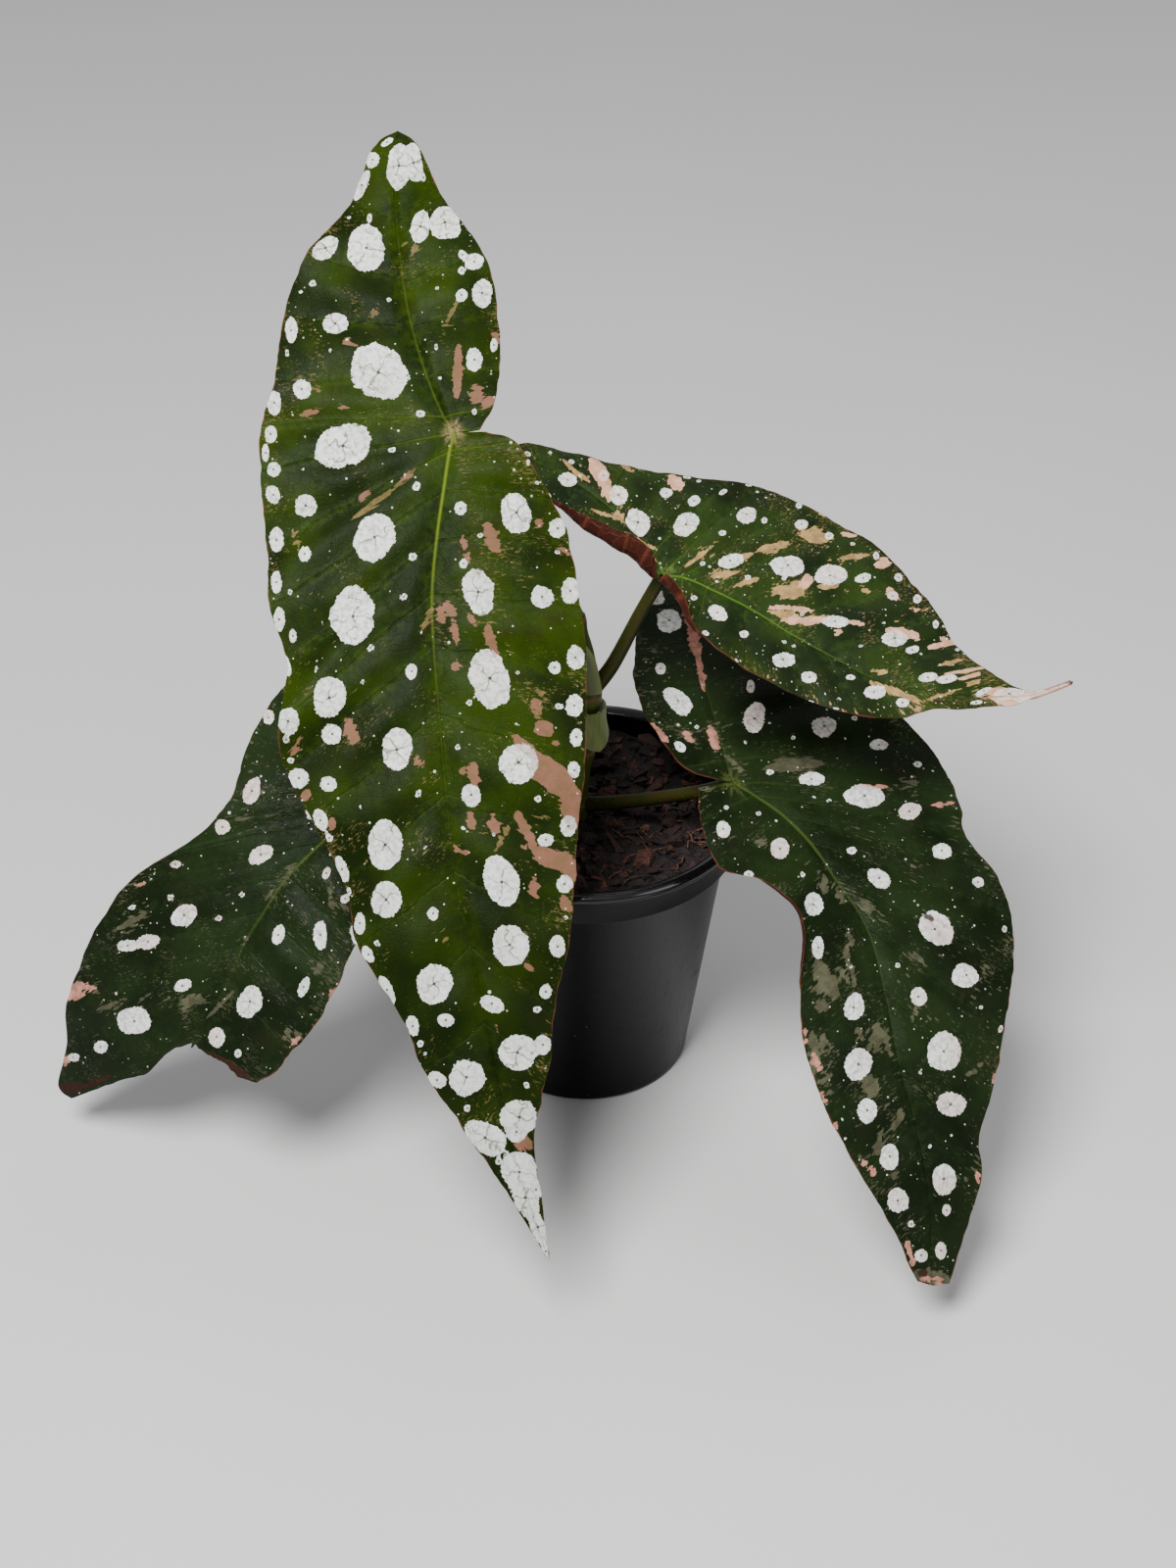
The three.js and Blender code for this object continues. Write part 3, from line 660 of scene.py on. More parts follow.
# %% Chips and fibres
CHIPS = 620
CHIP_CORNERS = 13
SHORT_CHIPS = (2.2, 5.0)  # mm long
LONG_CHIPS = (5.5, 10.5)  # every fifth one
CHIP_WIDTHS = (0.35, 0.75)  # as shares of the length
CHIP_DEPTHS = (0.18, 0.4)
CHIP_TILT = 0.35
FIBRES = 45
FIBRE_STEP = 1.7
FIBRE_POINTS = 12
FIBRE_RADII = (0.1, 0.2)
FIBRE_TONES = (1.1, 1.4)  # a chip's tone lies between 0 and 1
CANE_FOOT = np.array([-2.5, -1.0])
CANE_CLEARANCE = 3.6


def chip(length, width, thick):
    """A broken flake: the convex hull of random points in a flat block."""
    shape = bmesh.new()
    for _ in range(CHIP_CORNERS):
        spot = [random.uniform(-1, 1) for _ in range(3)]
        spot = [s / max(1, sum(abs(v) ** 3 for v in spot) ** (1 / 3)) for s in spot]
        shape.verts.new((spot[0] * length / 2, spot[1] * width / 2, spot[2] * thick / 2))
    bmesh.ops.convex_hull(shape, input=shape.verts)
    loose = [v for v in shape.verts if not v.link_faces]
    bmesh.ops.delete(shape, geom=loose, context="VERTS")
    shape.verts.ensure_lookup_table()
    points = np.array([v.co[:] for v in shape.verts])
    faces = [[v.index for v in f.verts] for f in shape.faces]
    shape.free()
    return points, faces


def resting_place(reach):
    """A random place on the mix, clear of the pot's wall and of the cane."""
    while True:
        radius = (MIX_RADIUS - reach) * math.sqrt(random.random())
        turn = 2 * math.pi * random.random()
        spot = np.array([radius * math.cos(turn), radius * math.sin(turn)])
        if np.linalg.norm(spot - CANE_FOOT) > CANE_CLEARANCE + 0.35 * reach:
            return spot


mix_points, mix_faces = list(bed_points), list(bed_faces)
mix_tones = [0.1] * len(bed_points)


def add_to_mix(points, faces, tone):
    first = len(mix_points)
    mix_points.extend(map(tuple, points))
    mix_faces.extend([[first + k for k in face] for face in faces])
    mix_tones.extend([tone] * len(points))


for number in range(CHIPS):
    length = random.uniform(*SHORT_CHIPS) if number % 5 else random.uniform(*LONG_CHIPS)
    points, faces = chip(length, length * random.uniform(*CHIP_WIDTHS),
                         length * random.uniform(*CHIP_DEPTHS))
    tilt = Matrix.Rotation(random.uniform(0, 2 * math.pi), 3, "Z")
    tilt @= Matrix.Rotation(random.gauss(0, CHIP_TILT), 3, "X")
    tilt @= Matrix.Rotation(random.gauss(0, CHIP_TILT), 3, "Y")
    x, y = resting_place(length / 2)
    lift = random.uniform(-0.1, 0.28) * length
    place = np.array([x, y, mix_level(x, y) + 0.3 + max(0.0, lift * 0.5)])
    add_to_mix(points @ np.array(tilt).T + place, faces, random.random())

for number in range(FIBRES):
    start = resting_place(5)
    turn = random.uniform(0, 2 * math.pi)
    route = []
    for step in range(5):
        x, y = start + step * FIBRE_STEP * np.array([math.cos(turn), math.sin(turn)])
        turn += random.gauss(0, 0.35)
        limit = (MIX_RADIUS - 0.6) / max(MIX_RADIUS - 0.6, math.hypot(x, y))
        x, y = x * limit, y * limit
        route.append((x, y, mix_level(x, y) + random.uniform(0.7, 2.0)))
    path = even_points(route, FIBRE_POINTS)
    points, faces = tube(path, np.full(FIBRE_POINTS, random.uniform(*FIBRE_RADII)), 5)
    add_to_mix(points, faces, random.uniform(*FIBRE_TONES))
print("the mix has", len(mix_points), "points")

# %% [markdown]
# One stored value, `tone`, is different on every chip. The finish turns it into the range of
# browns that bark has, from nearly black where it is wet to a foxy red-brown on a fresh break,
# and fibres get the palest tone. The grain is drawn by stretched noise.

# %% Mix finish
BROWNS = [(0.0, (0.005, 0.002, 0.002)), (0.3, (0.022, 0.006, 0.004)),
          (0.55, (0.060, 0.016, 0.009)), (0.7, (0.11, 0.036, 0.018)), (1.0, (0.19, 0.095, 0.045))]

mix_finish, tree, shader = new_finish("Bark and coir")
place = place_in_mm(tree)
browns = add_node(tree, "ValToRGB", {
    "Fac": maths(tree, "DIVIDE", reading(tree, "tone"), FIBRE_TONES[1])})
while len(browns.color_ramp.elements) < len(BROWNS):
    browns.color_ramp.elements.new(0.5)
for element, (position, colour) in zip(browns.color_ramp.elements, BROWNS):
    element.position = position
    element.color = (*colour, 1)
grain = noise_at(tree, scaled(tree, place, (0.6, 2.6, 2.0)), 1.1, detail=5.0)
crumbly = effect(tree, plant_skin, Place=place, Cloud_Size=3.0, Pore_Size=0.7)
coat_with(tree, shader,
          colour=blend_colours(tree, ramp(tree, grain, 0.35, 0.6), (0.008, 0.004, 0.0035),
                               browns.outputs["Color"]),
          roughness=times_plus(tree, crumbly["Clouds"], 0.3, 0.62),
          normal=bumped(tree, plus(tree, grain, crumbly["Relief"]), 0.6, 0.0006))
make_piece("Potting_mix", mix_points, mix_faces, [mix_finish],
           {"tone": mix_tones}, sharp=25)

# %% [markdown]
# ## The cane and the leaf stalks
#
# The cane is a jointed stem, like a thin bamboo. It swells at every joint where a leaf and its
# stipules grew, and a brown ring of old sheath is left there. Stalks are smooth, a little
# translucent, and lean into the light. Both are tubes along a curve: the swelling is only a
# radius that changes with height, and the ring is a fine ridge on top of it.

# %% Green stem finish
JOINT_HEIGHTS = (82, 98, 116, 138)
RING_ABOVE_JOINT = 1.2


def stem_finish(name, young, old, ring_heights=()):
    finish, tree, shader = new_finish(name)
    place = place_in_mm(tree)
    skin = effect(tree, plant_skin, Place=scaled(tree, place, (1, 1, 0.25)), Cloud_Size=3.0,
                  Pore_Size=0.5)
    flecks = dots_mask(tree, scaled(tree, place, (1, 1, 0.5)), spacing=1.5, largest=0.3,
                       share=0.45)
    colour = blend_colours(tree, ramp(tree, skin["Clouds"], 0.3, 0.7), young, old)
    colour = over(tree, flecks, 0.3, (0.20, 0.17, 0.08), colour)
    for ring in ring_heights:
        height = parts_of(tree, place)["Z"]
        away = maths(tree, "ABSOLUTE", minus(tree, height, ring + RING_ABOVE_JOINT))
        colour = over(tree, ramp(tree, away, 0.9, 0.3), 0.75, (0.13, 0.06, 0.025), colour)
    coat_with(tree, shader, colour, times_plus(tree, skin["Clouds"], 0.25, 0.28),
              bumped(tree, skin["Relief"], 0.25, 0.0003),
              {"Specular IOR Level": 0.18, "Subsurface Weight": 0.12,
               "Subsurface Radius": (0.004, 0.006, 0.002)})
    return finish


cane_finish = stem_finish("Cane skin", (0.038, 0.062, 0.008), (0.070, 0.080, 0.017), JOINT_HEIGHTS)
# The stalks' greens are darker than the cane's: partly their own olive tone and partly painted
# shade, for the shade they stand in.
shaded_stalk_finish = stem_finish("Leaf stalk skin with painted shade", (0.020, 0.026, 0.002), (0.030, 0.024, 0.004))
print("finishes:", cane_finish.name, "and", shaded_stalk_finish.name)

# %% Cane
CANE_PATH = [(-2.5, -1, 54), (-2.5, -1, 78), (-1, 0, 98), (1, 0, 116), (0, 1, 128),
             (-3, 2, 139), (-4, 2, 147)]
CANE_RADII = (3.1, 2.3)   # at its foot and below its tip
JOINT_SWELL = 0.8
JOINT_LENGTH = 2.6
RING_RIDGE = 0.22
RING_LENGTH = 0.35
TIP_LENGTH = 6
TIP_RADIUS = 0.8
CANE_STEPS = 220
CANE_SIDES = 28


def bump_near_joints(height, size, length):
    """A bell-shaped bump of a radius, at each joint."""
    return max(size * math.exp(-((height - joint) / length) ** 2) for joint in JOINT_HEIGHTS)


def cane_radius(along, height):
    radius = np.interp(along, (0, 1), CANE_RADII)
    swell = bump_near_joints(height, JOINT_SWELL, JOINT_LENGTH)
    ridge = bump_near_joints(height - RING_ABOVE_JOINT, RING_RIDGE, RING_LENGTH)
    top = CANE_PATH[-1][2]
    tip = np.clip((height - top + TIP_LENGTH) / TIP_LENGTH, 0, 1)
    tip = tip * tip * (3 - 2 * tip)
    return (1 - tip) * (radius + swell + ridge) + tip * TIP_RADIUS


cane_line = even_points(CANE_PATH, CANE_STEPS)
cane_radii = [cane_radius(i / (CANE_STEPS - 1), point[2]) for i, point in enumerate(cane_line)]
cane_points, cane_faces = tube(cane_line, cane_radii, CANE_SIDES)
make_piece("Cane", cane_points, cane_faces, [cane_finish])

# %% Leaf stalks
PETIOLE_PATHS = {
    "front": [(-3, 2, 138), (-10, 6, 152), (-22, 10, 174), (-29, 8, 186), (-32.2, 3, 192)],
    "right": [(1, 0, 117), (7, 0, 126), (14, 1, 141), (18.5, 1.5, 150), (19.7, 0, 153.7)],
    "lower_right": [(-2, -1, 82), (9, -4, 85), (21, -8.5, 90), (32, -15, 97), (38, -20, 103)],
    "lower_left": [(-1, 0, 98), (-16, -2, 101), (-34, -7, 103), (-47, -13, 101),
                   (-54.2, -20, 101.4)],
}
PETIOLE_FOOT_RADIUS = 2.1
PETIOLE_NECK_RADIUS = 1.7
PETIOLE_FOOT_SWELL = 0.5
PETIOLE_TOP_SWELL = 0.35
STALK_STOP = 1.3          # mm before the joint, so that the stalk ends inside the blade's rib
STALK_DOME = 1.4          # mm over which its end rounds off
STALK_STEPS = 90
STALK_SIDES = 24


def petiole_radius(along):
    """A stalk narrows to its neck, and is a little thicker at both ends."""
    neck = PETIOLE_FOOT_RADIUS + (PETIOLE_NECK_RADIUS - PETIOLE_FOOT_RADIUS) * min(1, 1.4 * along)
    foot = PETIOLE_FOOT_SWELL * math.exp(-along / 0.05)
    return neck + foot + PETIOLE_TOP_SWELL * math.exp(-(1 - along) / 0.04)


def make_stalk(name, route):
    end = np.subtract(route[-1], unit(np.subtract(route[-1], route[-2])) * STALK_STOP)
    line = even_points([*route[:-1], end], STALK_STEPS)
    to_end = np.minimum(1, np.linalg.norm(line - end, axis=1) / STALK_DOME)
    dome = np.sqrt(np.maximum(1 - (1 - to_end) ** 2, 0.02))
    radii = [petiole_radius(i / (STALK_STEPS - 1)) * dome[i] for i in range(STALK_STEPS)]
    points, faces = tube(line, radii, STALK_SIDES)
    make_piece(f"Petiole_{name}", points, faces, [shaded_stalk_finish])


for leaf_name, route in PETIOLE_PATHS.items():
    make_stalk(leaf_name, route)

# %% [markdown]
# ## The stipules
#
# A stipule is the papery sheath that wrapped a leaf before it opened. It stays at the joint,
# curled round the cane, with a fold down its back and a drying pointed tip. It is a thin sheet
# bent round the cane, and light comes through it, which is why its edges look paler. The upper
# one of the two is a darker green.

# %% Stipule finish
stipule_finish, tree, shader = new_finish("Papery stipule")
place = place_in_mm(tree)
skin = effect(tree, plant_skin, Place=scaled(tree, place, (1, 1, 0.15)), Cloud_Size=1.6,
              Pore_Size=0.6)
sheath = blend_colours(tree, ramp(tree, skin["Clouds"], 0.3, 0.7), (0.08, 0.12, 0.016),
                       (0.15, 0.19, 0.04))
height = parts_of(tree, place)["Z"]
sheath = over(tree, ramp(tree, height, 115, 121), 0.7, (0.035, 0.050, 0.012), sheath)
rim = ramp(tree, reading(tree, "rim"), 0.55, 1.0)
sheath = over(tree, rim, 0.5, (0.22, 0.24, 0.09), sheath)
dry = ramp(tree, reading(tree, "along"), 0.9, 1.0)
coat_with(tree, shader,
          colour=blend_colours(tree, dry, sheath, (0.20, 0.11, 0.05)),
          roughness=times_plus(tree, skin["Clouds"], 0.2, 0.4),
          normal=bumped(tree, skin["Clouds"], 0.3, 0.0004),
          plain={"Subsurface Weight": 0.25, "Subsurface Radius": (0.003, 0.004, 0.0015)})
print("finish:", stipule_finish.name)

# %% Stipules
STIPULE_THICKNESS = 0.45
STIPULE_ROWS = 40
STIPULE_COLUMNS = 36
STIPULES = {              # heights, the way it faces, and its reach from the cane's middle line
    "lower": {"foot": 113.5, "tip": 102.5, "faces": -52, "wraps": 95, "reach": (4.15, 6.75)},
    "upper": {"foot": 119.5, "tip": 141, "faces": -118, "wraps": 70, "reach": (4.25, 5.15)},
}


def stipule_radius(along, side, half, reach):
    """How far a sheath is from the cane's middle line, with its fold and its flared edges."""
    keel = 0.35 * math.exp(-(side * half / 9) ** 2) * (1 - along)
    flare = 0.35 * abs(side) ** 3 * math.sin(9 * along + 2 * side)
    return reach[0] + (reach[1] - reach[0]) * along ** 1.5 + keel + flare * (1 - along)


def stipule_layer(points, stored, lift, foot, tip, faces, wraps, reach):
    """Adds one face of a sheath to the points, and returns the grid of their numbers."""
    grid = []
    for along in np.arange(STIPULE_ROWS + 1) / STIPULE_ROWS:
        height = foot + (tip - foot) * along
        centre = cane_line[np.abs(cane_line[:, 2] - height).argmin()]
        half = wraps * math.cos(math.pi / 2 * along ** 1.6) + 0.8
        grid.append([len(points) + j for j in range(STIPULE_COLUMNS + 1)])
        for side in 2 * np.arange(STIPULE_COLUMNS + 1) / STIPULE_COLUMNS - 1:
            angle = math.radians(faces + half * side)
            radius = stipule_radius(along, side, half, reach) + lift
            points.append((centre[0] + radius * math.cos(angle),
                           centre[1] + radius * math.sin(angle), height))
            stored["rim"].append(abs(side))
            stored["along"].append(along)
    return grid


def grid_edge(grid):
    """The numbers round the edge of a grid, in order."""
    return (grid[0] + [row[-1] for row in grid[1:]] + grid[-1][-2::-1]
            + [row[0] for row in grid[-2:0:-1]])


def make_stipule(name, foot, tip, **shape):
    points, stored = [], {"rim": [], "along": []}
    outer = stipule_layer(points, stored, STIPULE_THICKNESS, foot, tip, **shape)
    inner = stipule_layer(points, stored, 0, foot, tip, **shape)
    faces = grid_faces(outer) + [face[::-1] for face in grid_faces(inner)]
    outer_edge, inner_edge = grid_edge(outer), grid_edge(inner)
    for k in range(len(outer_edge)):
        after = (k + 1) % len(outer_edge)
        faces.append([outer_edge[after], outer_edge[k], inner_edge[k], inner_edge[after]])
    if tip > foot:
        faces = [face[::-1] for face in faces]
    make_piece(f"Stipule_{name}", points, faces, [stipule_finish], stored)


for stipule_name, shape in STIPULES.items():
    make_stipule(stipule_name, **shape)

# %% [markdown]
# ## The blades: their outline
#
# The blades are the plant. Each one is lopsided: the midrib runs down one side of the middle, and
# behind the joint with the stalk the blade goes on in a rounded lobe, so it looks like a wing.
# The outline could be drawn as one loop and filled, but then the surface would have no direction,
# and veins, quilting and patches all need one. So a blade is built from its veins. Each row below
# is one main vein: a point on the left margin, one on the midrib, and one on the right margin. A
# third number lifts that margin or lets it droop. `rolls` says where a margin curls up so far that
# the underside shows: on which half, how strongly at which rows, and the curl's radius, its turn,
# the flat flap after it, and how far it bulges beyond the outline. `tear` moves the end row where
# a tip has torn off, and `pale_tip` gives the rows where a tip turns pink, white and dry.
#
# A blade lies in its own frame. The stalk joins it at (0, 0), the tip is towards -y, and the upper
# face looks along +z. It is then put in place by three things: where its stalk joins, where its
# tip is, and which way its face looks.

# %% Front blade's outline
LEAVES = {}
LEAVES["front"] = {
    "base": (-32.2, 3, 192), "tip": (-8.8, -117.1, 30), "facing": (0, -0.8, 0.6),
    "arch": 9,
    "slit": (7, "right", (8, -1, -1)),
    "rows": [
        [(-6, 80.5, 0), (-6, 80.5), (-6, 80.5, 0)],
        [(-12, 77.5, -1), (-7.5, 70.5), (-1.5, 76.5, -1)],
        [(-20, 62.5, -2), (-8.5, 56), (3.5, 62, -3)],
        [(-32, 49, 1), (-8.5, 40.5), (12.5, 44, -1)],
        [(-39, 34.5, -3), (-7.5, 28), (14, 29, -3)],
        [(-42.5, 17.5, 0), (-5, 14.5), (13, 15, -2)],
        [(-47, 7, -3), (-2, 4), (10.5, 5, 0)],
        [(-48, -4, -1), (0, -0.5), (6.5, -0.5, 1)],
        [(-48.5, -23.5, -4), (-1.5, -5), (15, -5, 0)],
        [(-49, -38, -2), (-4, -14.5), (22, -19.5, -3)],
        [(-46.5, -52.5, -4), (-7, -26.5), (25, -30, -5)],
        [(-49.5, -67, 1), (-9.5, -39.5), (26, -47, -3)],
        [(-49.5, -78, -4), (-10.5, -52.5), (25.5, -63.5, -6)],
        [(-44, -91, -2), (-11, -69), (22.5, -85, -4)],
        [(-38.5, -107.5, -5), (-11.5, -88), (18.5, -103.5, -5)],
        [(-36.5, -122.5, -2), (-11.5, -107), (14.5, -124.5, -2)],
        [(-28, -141.5, -3), (-10, -125), (8.5, -142.5, -3)],
        [(-24.5, -153.5, -1), (-8.5, -144), (5.5, -156.5, -1)],
        [(-16.5, -169.5, -2), (-7, -162), (0, -172.5, -2)],
        [(-9, -184, -1), (-5, -179), (0, -187.5, -1)],
        [(0, -203.5, 0), (0, -203.5), (0, -203.5, 0)],
    ],
}
print("front blade:", len(LEAVES["front"]["rows"]), "rows")

# %% Right blade's outline
LEAVES["right"] = {
    "base": (19.7, 0, 153.7), "tip": (122.9, -16.8, 131.4), "facing": (0.14, -0.36, 0.92),
    "arch": -3,
    "slit": (6, "left", (-3.5, -1, 1.5)),
    "pale_tip": (14.7, 15.15, 16.85),
    "rolls": [
        {"half": ("left", 0), "rows": (1.2, 2.2, 3.3, 4.2, 5.6, 6.0),
         "shares": (0, 0.35, 0.7, 1, 1, 0.6), "radius": 2.9, "degrees": 138, "flap": 1.2,
         "beyond": 2.9},
        {"half": ("left", 6), "rows": (5.9, 6.1, 7.0, 8.7), "shares": (0.7, 1, 0.8, 0),
         "radius": 1.3, "degrees": 125, "flap": 1.3, "beyond": 1.0},
    ],
    "rows": [
        [(17, 48.5, 0), (17, 48.5), (17, 48.5, 0)],
        [(10, 41, 1), (19.5, 39), (25, 42, -1)],
        [(6.5, 29.5, 3), (18, 27), (29.5, 29.5, -3)],
        [(3, 21.5, 4), (14.5, 17.5), (31, 16.5, -2)],
        [(1, 10.5, 4), (10, 9.5), (36.5, 3.5, -5)],
        [(-0.5, 4.5, 3), (5.5, 3.5), (38.5, -9.5, -3)],
        [(-2, 1.5, 1.5), (0, 0), (42, -18.5, -5)],
        [(-9.5, -6.5, 3.5), (1, -5), (39, -31, -3)],
        [(-17.5, -12, 4), (0.5, -11.5), (37.5, -42.5, -5)],
        [(-21.5, -25.5, 1), (-1.5, -22), (31.5, -53, -3)],
        [(-24, -42, -1), (-5, -33), (24, -63, -4)],
        [(-26, -56.5, 1), (-8.5, -44), (13, -71, -1)],
        [(-21.5, -66.5, -1), (-12, -56), (6.5, -76.5, -3)],
        [(-17.5, -75.5, 1), (-12.5, -66), (-1, -84, 0)],
        [(-13, -85.5, -1), (-11.5, -77.5), (-2, -90.5, -2)],
        [(-11, -93, 0.5), (-9.5, -88), (-5.5, -96.5, 0)],
        [(-5.3, -100, 0.2), (-5.9, -98), (-3.8, -101, 0)],
        [(0.5, -107, 0), (0.5, -107), (0.5, -107, 0)],
    ],
}
print("right blade:", len(LEAVES["right"]["rows"]), "rows")

# %% Lower right blade's outline
LEAVES["lower_right"] = {
    "base": (38, -20, 103), "tip": (85.8, -111.8, 15), "facing": (0.3, -0.58, 0.76),
    "arch": 13,
    "slit": (6, "left", (-9, 1.5, -1)),
    "rolls": [
        {"half": ("left", 6), "rows": (8.6, 9.4, 10.3, 11.2), "shares": (0, 0.9, 1, 0),
         "radius": 0.5, "degrees": 125, "flap": 0.2, "beyond": 0.2},
    ],
    "rows": [
        [(22, 68, 0), (22, 68), (22, 68, 0)],
        [(9, 59, 0), (19, 57), (31.5, 59.5, -1)],
        [(-1, 46.5, -1), (14.5, 44), (40.5, 47.5, -2)],
        [(-9, 34, 0), (9.5, 29.5), (48.5, 30.5, -4)],
        [(-11.5, 20.5, 1), (5.5, 17), (52, 13, -2)],
        [(-10.5, 7.5, 2), (2, 6.5), (58.5, -4.5, -4)],
        [(-4, 2, 1), (0.5, 0), (54.5, -22, 2)],
        [(-13.5, -7.5, 0), (3.5, -5), (54, -32.5, -3)],
        [(-15, -20.5, -1), (8, -13), (54, -44.5, 1)],
        [(-7, -28, 2), (11, -22.5), (55.5, -57, -3)],
        [(-3.5, -41, 4), (12.5, -33.5), (48.5, -70, -1)],
        [(-9.5, -56, 1), (14.5, -47.5), (38, -83.5, 3)],
        [(-14, -71, -1), (12, -64), (31, -96, 0)],
        [(-15, -88, 1), (8.5, -82.5), (24.5, -106, -2)],
        [(-10.5, -104.5, -1), (7.5, -97), (20.5, -115.5, 1)],
        [(-6.5, -119.5, 0), (5.5, -114), (13.5, -126.5, -1)],
        [(-3.5, -133.5, 0), (0.5, -136), (5, -137, 0)],
    ],
}
print("lower right blade:", len(LEAVES["lower_right"]["rows"]), "rows")

# %% Lower left blade's outline
LEAVES["lower_left"] = {
    "base": (-54.2, -20, 101.4), "tip": (-102.5, -55.5, 43.5),
    "facing": (-0.25, -0.72, 0.65),
    "arch": 8,
    "slit": (7, "right", (6.5, -0.5, -1)),
    "tear": [("left", [(0, 1.6), (0.15, 2.6), (0.22, 1.2), (0.30, -3.4), (0.5, -1.6), (1, 0)]),
             ("right", [(0, 1.5), (0.25, 0.6), (0.5, 0.9), (0.75, -0.9), (1, 0)])],
    "rows": [
        [(-20.5, 62.5, 0), (-20.5, 62.5), (-20.5, 62.5, 0)],
        [(-25.5, 60.5, -1), (-19, 55), (-15, 59.5, 0)],
        [(-28.5, 48, -2), (-16.5, 43.5), (-7.5, 48.5, -1)],
        [(-35.5, 37, 0), (-13, 30.5), (4.5, 34, 0)],
        [(-38.5, 25, -2), (-10, 21.5), (7.5, 22, -2)],
        [(-38.5, 10, -1), (-6, 11), (8.5, 12, 0)],
        [(-36.5, -8, -3), (-2, 3), (7.5, 4, -1)],
        [(-28.5, -24.5, 0), (0, 0), (5, 0.5, 0)],
        [(-29.5, -36, -1), (-1, -4), (12.5, -3.5, -1)],
        [(-32.5, -45.5, 1), (-0.5, -10.5), (18.5, -13.5, -2)],
        [(-39.5, -59, -3), (-1.5, -20), (22.5, -23, -1)],
        [(-39.5, -71, 0), (-3, -31), (22, -34, -3)],
        [(-40.5, -85, -3), (-2.5, -42), (24.5, -44, -1)],
        [(-38, -97.5, 0), (-2, -52), (25, -56.5, -4)],
        [(-34.5, -108.5, -2), (0, -62.5), (24, -66.5, -2)],
        [(-31.5, -119.5, 1), (0.5, -73), (22.5, -74, -3)],
        [(-27, -120.5, 0), (0, -83.5), (20.5, -79.5, -1)],
    ],
}
print("lower left blade:", len(LEAVES["lower_left"]["rows"]), "rows")

# %% [markdown]
# ## The blades: their surface
#
# A begonia blade is quilted. It bulges a little between two main veins, sinks along the midrib,
# and its margin waves. On the underside the ribs stand out instead. One formula gives the height
# of the upper face from the row and from how far across the point lies, and a second gives the
# thickness. A cloth simulation or a sculpt could make similar bulges, but they wouldn't follow
# the veins.

# %% Blade surface
ROWS_PER_VEIN = 14
INNER_COLUMNS = 38
RIM_COLUMNS = 12          # these are closer together, for a crisp margin and its curls
RIM_SHARE = 0.12          # of the way from the midrib to the margin
COLUMN_POWER = 1.12       # above 1, columns are closer together by the midrib
COLUMN_SHARES = np.concatenate([
    (1 - RIM_SHARE) * (np.arange(1, INNER_COLUMNS + 1) / INNER_COLUMNS) ** COLUMN_POWER,
    1 - RIM_SHARE + RIM_SHARE * np.arange(1, RIM_COLUMNS + 1) / RIM_COLUMNS])
BLADE_THICKNESS = 0.62
BLADE_EDGE_THICKNESS = 0.32
MIDRIB_HEIGHT = 1.15      # on the underside
VEIN_HEIGHT = 0.45        # on the underside
MIDRIB_VALLEY = 0.7       # on the upper face
QUILTING = 1.25
MARGIN_CURL_POWER = 2.2
UNEVENNESS = 0.32         # slow bumps that belong to no vein
FULL_QUILT_SPACING = 13   # mm between two veins that makes room for the full height
MARGIN_WOBBLE = 0.55      # small irregularities of the outline


def fade_at_ends(leaf, row):
    """The relief fades out at both ends of a blade."""
    last = len(leaf["rows"]) - 1
    return np.minimum(1, np.minimum(row / 3, (last - row) / 4 + 0.1))


def wobble(values, size, seed):
    """A slow random number between -1 and 1 for each of a list of places."""
    return np.array([noise.noise(Vector((*v[:2] / size, seed))) for v in values])


def upper_height(leaf, points, margin_lift, row, across, spacing):
    length = np.linalg.norm(np.subtract(leaf["base"], leaf["tip"]))
    along = -points[..., 1] / length
    arch = leaf["arch"] * 4 * along * (1 - along)
    lift = margin_lift * across ** MARGIN_CURL_POWER
    room = np.minimum(1, spacing / FULL_QUILT_SPACING) ** 1.5
    quilt = QUILTING * room * np.sin(math.pi * row) ** 2 * 4 * across * (1 - across)
    valley = MIDRIB_VALLEY * np.maximum(0, 1 - 8 * across)
    return arch + lift + (quilt - valley) * fade_at_ends(leaf, row)


def thickness(leaf, row, across):
    plain = BLADE_THICKNESS + (BLADE_EDGE_THICKNESS - BLADE_THICKNESS) * across
    midrib = MIDRIB_HEIGHT * np.exp(-(across / 0.045) ** 2)
    vein = VEIN_HEIGHT * np.cos(math.pi * row) ** 8 * (1 - across)
    return plain + (midrib + vein) * fade_at_ends(leaf, row)


def blade_axes(leaf):
    """The directions of a blade's own x, y and z."""
    along = unit(np.subtract(leaf["base"], leaf["tip"]))
    across = unit(np.cross(along, leaf["facing"]))
    return np.array([across, along, np.cross(across, along)])


def onto_plant(leaf, points):
    """Takes points from a blade's own frame to its place on the plant."""
    return points @ blade_axes(leaf) + np.array(leaf["base"])


def half_blades(leaf):
    """The stretches of the two halves: the side, the first row and the margin's points. The slit
    cuts one half in two."""
    rows = leaf["rows"]
    slit_row, slit_side, lower = leaf["slit"]
    margins = {"left": [row[0] for row in rows], "right": [row[2] for row in rows]}
    whole_side = "left" if slit_side == "right" else "right"
    cut = margins[slit_side]
    return [
        (whole_side, 0, margins[whole_side]),
        (slit_side, 0, cut[:slit_row + 1]),
        (slit_side, slit_row, [lower, *cut[slit_row + 1:]]),
    ]


print("points across half a blade:", len(COLUMN_SHARES))

# %% [markdown]
# The sheet below keeps, for each of its points, what a finish will want to know about it: the
# row, the distance from the midrib and from the margin, and the space between two veins. These
# are true distances in millimetres, so a line that is drawn half a millimetre wide is half a
# millimetre wide everywhere.

# %% Margins
def rolls_of(leaf, half, row):
    """The curls on one half of a blade, each with its strength at every row."""
    for roll in leaf.get("rolls", ()):
        if roll["half"] == half:
            share = np.interp(row, roll["rows"], roll["shares"], left=0, right=0)
            yield roll, share * share * (3 - 2 * share)


